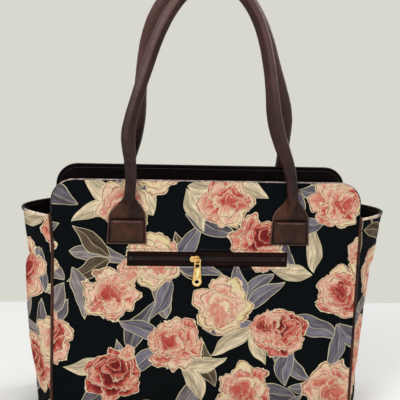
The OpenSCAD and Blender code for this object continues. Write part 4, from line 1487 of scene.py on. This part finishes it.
def strip_section():
    """The strip that laps the inner side of a rolled handle, with a raised edge at the seam; its darker
    leather stands partly for the shade on that inner side.
    """
    degrees = np.linspace(STRIP_START, STRIP_END, 36)
    raised = STRIP_RAISED + STRIP_EDGE * bell(degrees - STRIP_START, 5.0)
    outer = turned_section(handle_size(degrees) + raised, degrees)
    inner = turned_section(handle_size(degrees) - STRIP_SUNK, degrees)
    return np.concatenate([outer, inner[::-1]])


def leg_widths(side, line):
    """How much wider and flatter a handle lies along its line, and how far that shifts it, in metres."""
    rise = line[:, 2] / MM - HANDLE_START
    low = 1 - smooth_step((rise - NECK_HOLD) / NECK_TAPER)
    across = deep = 1 - (HANDLE_R - NECK_R) / HANDLE_R * low
    shift = np.zeros(len(line))
    for end in ENDS:
        at, reach, much, toward = PRESSED[(side, end)]
        here = line[:, 0] * end > 0
        wider = much * bell(rise / HANDLE_RISE - at, reach) * here
        across = across + wider
        deep = deep - 0.4 * wider
        shift = shift + (toward * wider * HANDLE_R + NECK_LEAN[(side, end)] * low * here) * MM
    return across, deep, shift


def handle(side):
    """A rolled leather handle with a sewn seam along it, rising from its sewn ends."""
    line = handle_line(side)
    feet = line[[0, -1]]
    feet[:, 1:] = place(side, 0.0, NECK_S, HANDLE_START - HANDLE_FOOT)[1:] / MM
    line, ways = evenly(np.concatenate([feet[:1], line, feet[1:]]) * MM, 3.0 * MM)
    across, deep, shift = leg_widths(side, line)
    line[:, 0] += shift
    turn = math.radians(SEAM_TURN)
    into_loop = np.stack([ways[:, 2], np.zeros(len(ways)), -ways[:, 0]], axis=1)
    toward = np.array([0.0, side * math.cos(turn), 0.0]) + into_loop * math.sin(turn)
    number = np.arange(len(line))
    wobble = 1 + 0.012 * np.sin(number * 0.9) * np.sin(number * 0.23)
    sizes = np.stack([deep * wobble, -side * across * wobble], axis=1)[:, None, :] * MM
    lean = unit(toward - (toward * ways).sum(1)[:, None] * ways)
    beside = np.cross(ways, lean)
    angle = -side * math.radians(STRIP_START + STITCH_TURN)
    out = lean * math.cos(angle) * deep[:, None] + beside * math.sin(angle) * across[:, None]
    row = line + out * (HANDLE_R - STRIP_STITCH_SUNK) * MM
    name = SIDES[side] + "_handle"
    shapes = [
        ("_leather", sweep(line, handle_section() * sizes, toward), HANDLE_LEATHER, 70),
        ("_strip", sweep(line, strip_section() * sizes, toward), SHADED_STRIP_LEATHER, 50),
        ("_stitches", stitches(row[4:-4], out[4:-4]), SEWING, 50),
    ]
    neck = place(side, 0.0, NECK_S, HANDLE_START + BEND_START)
    for layer, shape, material, sharp in shapes:
        obj = piece(name + layer, shape, material, body=None, sharp=sharp)
        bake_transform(obj)
        if layer == "_leather":
            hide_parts(name, name + "_core")


# Zip


def zip_place(x, s, w):
    return place(FRONT, x, s, ZIP_Z + np.asarray(w, float))


def welt(half):
    """A folded leather welt along one side of the zip."""
    marks, front_s = np.array(WELT_SECTION).T
    back_s = np.full_like(marks, WELT_BACK)
    back_s[0] = WELT_LIP_BACK
    x, w = np.meshgrid(np.linspace(-WELT_W / 2, WELT_W / 2, 112), marks)
    ease = 0.1 * np.sin(x / 9.0) * ((w > 4) & (w < 9.5))
    inside = np.abs(x) < ZIP_W / 2 - WELT_END
    out = np.where(inside, front_s[:, None] + ease, np.maximum(front_s[:, None], WELT_S))
    shape = closed_sheet(zip_place(x, out, half * w), zip_place(x, back_s[:, None], half * w))
    name = "pocket_" + HALVES[half] + "_welt"
    piece(name + "_leather", shape, WELT_LEATHER, name, sharp=70)


def zip_tape(half):
    """The woven tape behind one half of the coil, ribbed along its length."""
    x, w = np.meshgrid(np.linspace(-TAPE_W / 2, TAPE_W / 2, 108), np.linspace(TAPE_NEAR, TAPE_REACH, 30))
    rib = TAPE_RIB_DEPTH * np.sin(w * 2 * math.pi / TAPE_RIB)
    shape = closed_sheet(
        zip_place(x, TAPE_S + 0.1 + rib, half * w), zip_place(x, TAPE_S + TAPE_T, half * w)
    )
    name = "zip_" + HALVES[half] + "_tape"
    obj = piece(name + "_cloth", shape, TAPE, name)


def zip_coil(half):
    """One half of the zip's coil as a wound filament."""
    turns = int(COIL_LENGTH / COIL_PITCH)
    angle = np.arange(turns * COIL_STEPS + 1) * 2 * math.pi / COIL_STEPS
    x = -COIL_LENGTH / 2 + COIL_START[half] + angle / (2 * math.pi) * COIL_PITCH
    across = COIL_MID + COIL_REACH * np.cos(angle)
    line = zip_place(x, COIL_S + COIL_DEPTH * np.sin(angle), half * across)
    name = "zip_" + HALVES[half] + "_coil"
    piece(name + "_winding", sweep(line, oval(COIL_R, COIL_R, 5), (1, 0, 0)), COIL, name)


def zip_frame_stitches():
    """The sewn frame round the zip's window."""
    high = ZIP_WINDOW / 2 + ZIP_SEAM_Z
    run = around(ZIP_W / 2 + ZIP_SEAM_X, -high, high, 30)
    line = zip_place(run[:, 0], 0.0, run[:, 1])
    piece("zip_frame_stitches", stitches(line, outward(FRONT)), SEWING)


def on_slider(x):
    """The frame of the slider, moved along it: X along the zip, Y up the panel, Z out of it."""
    origin = Vector(zip_place(SLIDER_X, 0.0, 0.0))
    up = Vector(zip_place(SLIDER_X, 0.0, 1.0)) - origin
    out = Vector(zip_place(SLIDER_X, -1.0, 0.0)) - origin
    turn = Matrix((Vector((1, 0, 0)), up.normalized(), out.normalized())).transposed().to_4x4()
    return Matrix.Translation(origin) @ turn @ Matrix.Translation((x * MM, 0, 0))


def zip_slider():
    """The slider: a domed plate with a waist, a lower plate behind the coil, and an arched bail."""
    def squarish(value):
        return np.copysign(np.abs(value) ** 0.75, value)

    matrix = on_slider(0)
    angle = np.radians(np.linspace(0, 360, 72, endpoint=False))
    x = SLIDER_L / 2 * squarish(np.cos(angle))
    waist = 1 - 0.16 * bell(x + 1.5, 2.2)
    plate = np.stack([x, SLIDER_W / 2 * squarish(np.sin(angle)) * waist], axis=1)
    outlines = [plate, rounded_box(*LOWER_PLATE), rounded_box(*POST)]
    parts = []
    for outline, (thick, bevel, lift) in zip(outlines, SLIDER_LAYERS):
        parts.append(flat_part([outline], thick, bevel, matrix, lift))
    angle = np.radians(np.linspace(0, 180, 21))
    rise = BAIL_FOOT + BAIL_RISE * np.sin(angle) ** 0.8
    bail = np.stack([np.full(21, PULL_X), BAIL_REACH * np.cos(angle), rise], axis=1) * MM
    parts.append(sweep(carried(bail, matrix), oval(BAIL_W / 2, BAIL_R, 12), (1, 0, 0)))
    piece("zip_slider_gilt", joined(parts), GOLD, "zip_slider", "zip_slider", sharp=40)


def pull_outlines():
    """The pull's outline with its open window for the bail, and its slot and hole."""
    head = PULL_HEAD_W / 2
    window = PULL_WINDOW_W / 2
    ring = PULL_W / 2
    ring_z = -PULL_L + ring
    slot_z = -PULL_WINDOW_L - PULL_BAR - PULL_SLOT_L
    right = [(window - 0.9, -PULL_WINDOW_L), (window, -PULL_WINDOW_L + 0.9), (window, 0.75)]
    right += [(window + 0.4, 0.95), (head - 0.5, 0.95), (head, 0.4), (head, slot_z)]
    left = [(-x, y) for x, y in right[::-1]]
    outline = right + arc(0, ring_z, ring, PULL_FLARE, -180 - PULL_FLARE, 40) + left
    slot = [(x, y + slot_z + PULL_SLOT_L / 2) for x, y in rounded_box(PULL_WINDOW_W, PULL_SLOT_L, 1.0)]
    return [outline, slot, arc(0, ring_z, PULL_HOLE_R, 0, 345, 24)]


def zip_pull():
    """The pull: a tab that hangs on a round bar, with a raised tongue and a raised ring round its hole."""
    matrix = on_slider(PULL_X)
    reach = PULL_HEAD_W / 2 - 0.3
    bar = np.linspace((-reach, 0.0, PIVOT_OUT), (reach, 0.0, PIVOT_OUT), 8) * MM
    parts = [
        flat_part(pull_outlines(), PULL_T, PULL_BEVEL, matrix, PIVOT_OUT),
        sweep(carried(bar, matrix), oval(PULL_BAR_R, PULL_BAR_R, 14), (0, 0, 1)),
    ]
    piece("zip_pull_gilt", joined(parts), GOLD, "zip_pull", "zip_pull", sharp=40)
    ring_z = -PULL_L + PULL_W / 2
    tongue = [(x + TONGUE_X, y + TONGUE_Y) for x, y in rounded_box(*TONGUE)]
    ring = [
        arc(0, ring_z, PULL_HOLE_R + RING_OUT, 0, 350, 36),
        arc(0, ring_z, PULL_HOLE_R + RING_IN, 0, 345, 24),
    ]
    lift = PIVOT_OUT + RELIEF_LIFT
    parts = [flat_part(lines, RELIEF_T, RELIEF_BEVEL, matrix, lift) for lines in ([tongue], ring)]
    # The raised relief is in the paler gold, a painted highlight.
    piece("zip_pull_relief", joined(parts), HIGHLIT_GOLD, None, "zip_pull", sharp=40)


# Solids that stay as they are inside the sewn layers
HIDDEN = {
    "front_padding": FOAM,
    "back_padding": FOAM,
    "base_board": FOAM,
    "pocket_bag": LINING,
    "zip_end_stops": COIL,
}


def dress_hidden_nodes():
    for name, material in HIDDEN.items():
        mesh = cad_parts[name].data
        mesh.materials.clear()
        mesh.materials.append(material)


# Stage, light and camera

CAMERA_AT = (-0.1571, -1.3557, 0.6113)
CAMERA_YAW = 0.110
CAMERA_PITCH = 0.236
CAMERA_ROLL = 0.0401
FOCAL_SHARE = 1051.6 / 400.0
SENSOR = 36.0
WALL = shade(217, 216, 207)
SKY = (0.95, 0.97, 1.0, 1.0)
SKY_STRENGTH = 0.5
FLOOR_REACH = 4.0
FLOOR_BACK = 0.40
# Lights: name, place, target, size and power
LIGHTS = [
    ("key", (-1.4, -1.7, 1.8), (0, 0, 0.25), 1.3, 40),
    ("fill", (1.3, -1.8, 1.0), (0, 0, 0.25), 1.4, 8),
    ("rim", (1.7, 0.8, 1.1), (0, 0, 0.4), 0.7, 12),
    ("top", (0.2, 0.3, 2.2), (0, 0, 0.2), 1.2, 18),
]


def add_object(name, data):
    obj = bpy.data.objects.new(name, data)
    bpy.context.scene.collection.objects.link(obj)
    return obj


def add_camera():
    ahead = Vector((math.sin(CAMERA_YAW), math.cos(CAMERA_YAW), 0)) * math.cos(CAMERA_PITCH)
    ahead.z = -math.sin(CAMERA_PITCH)
    level = Vector((math.cos(CAMERA_YAW), -math.sin(CAMERA_YAW), 0))
    upright = level.cross(ahead)
    right = math.cos(CAMERA_ROLL) * level + math.sin(CAMERA_ROLL) * upright
    up = -math.sin(CAMERA_ROLL) * level + math.cos(CAMERA_ROLL) * upright
    data = bpy.data.cameras.new("camera")
    data.sensor_width = SENSOR
    data.lens = SENSOR * FOCAL_SHARE
    obj = add_object("camera", data)
    turn = Matrix((right, up, -ahead)).transposed().to_4x4()
    obj.matrix_world = Matrix.Translation(Vector(CAMERA_AT)) @ turn
    bpy.context.scene.camera = obj


def add_stage():
    """A pale floor that ends a little behind the bag."""
    material, g = new_material("stage")
    tone = g.mix(g.noise(g.place(), 3.0), shade(220, 219, 216), shade(227, 226, 223))
    g.finish(tone, 0.9, Specular_IOR_Level=0.2)
    x, y = np.meshgrid(np.linspace(-FLOOR_REACH, FLOOR_REACH, 9), np.linspace(-FLOOR_REACH, FLOOR_BACK, 9))
    points = np.stack([x, y, np.zeros_like(x)], axis=-1)
    mesh = bpy.data.meshes.new("stage_floor")
    mesh.from_pydata(points.reshape(-1, 3).tolist(), [], grid_faces(np.ones((8, 8), bool)))
    mesh.materials.append(material)
    add_object("stage_floor", mesh)


def add_world():
    """Even light from all round, and a plain pale wall where the world itself is seen or mirrored."""
    world = bpy.data.worlds.new("studio")
    world.use_nodes = True
    nodes = world.node_tree.nodes
    g = Graph(world.node_tree)
    light = nodes["Background"]
    light.inputs["Color"].default_value = SKY
    light.inputs["Strength"].default_value = SKY_STRENGTH
    wall = g.node("Background", {"Color": WALL, "Strength": 1.0})[0]
    ray = g.node("LightPath", ())
    mirrored = g.math("MAXIMUM", ray["Is Glossy Ray"], ray["Is Transmission Ray"])
    seen = g.math("MAXIMUM", ray["Is Camera Ray"], mirrored)
    mixed = g.node("MixShader", (seen, light.outputs[0], wall))[0]
    g.put(nodes["World Output"].inputs["Surface"], mixed)
    bpy.context.scene.world = world


def add_lights():
    for name, at, target, size, power in LIGHTS:
        data = bpy.data.lights.new(name, "AREA")
        data.energy = power
        data.shape = "DISK"
        data.size = size
        obj = add_object(name, data)
        obj.visible_camera = False
        obj.location = at
        obj.rotation_mode = "QUATERNION"
        obj.rotation_quaternion = (Vector(target) - Vector(at)).to_track_quat("-Z", "Y")


def main():
    bpy.context.scene.view_settings.view_transform = "Standard"
    add_camera()
    for side in SIDES:
        panel_cloth(side)
    for end in ENDS:
        gusset_cloth(end)
    for side in SIDES:
        panel_hem(side)
        panel_facing(side)
        piping(side)
        for end in ENDS:
            handle_end(side, end)
            patch(side, end)
        handle(side)
    for end in ENDS:
        gusset_hem(end)
        end_facing(end)
        end_lining(end)
    base_cloth()
    lining()
    divider()
    for half in HALVES:
        welt(half)
        zip_tape(half)
        zip_coil(half)
    zip_frame_stitches()
    zip_slider()
    zip_pull()
    dress_hidden_nodes()
    add_stage()
    add_lights()
    add_world()


main()
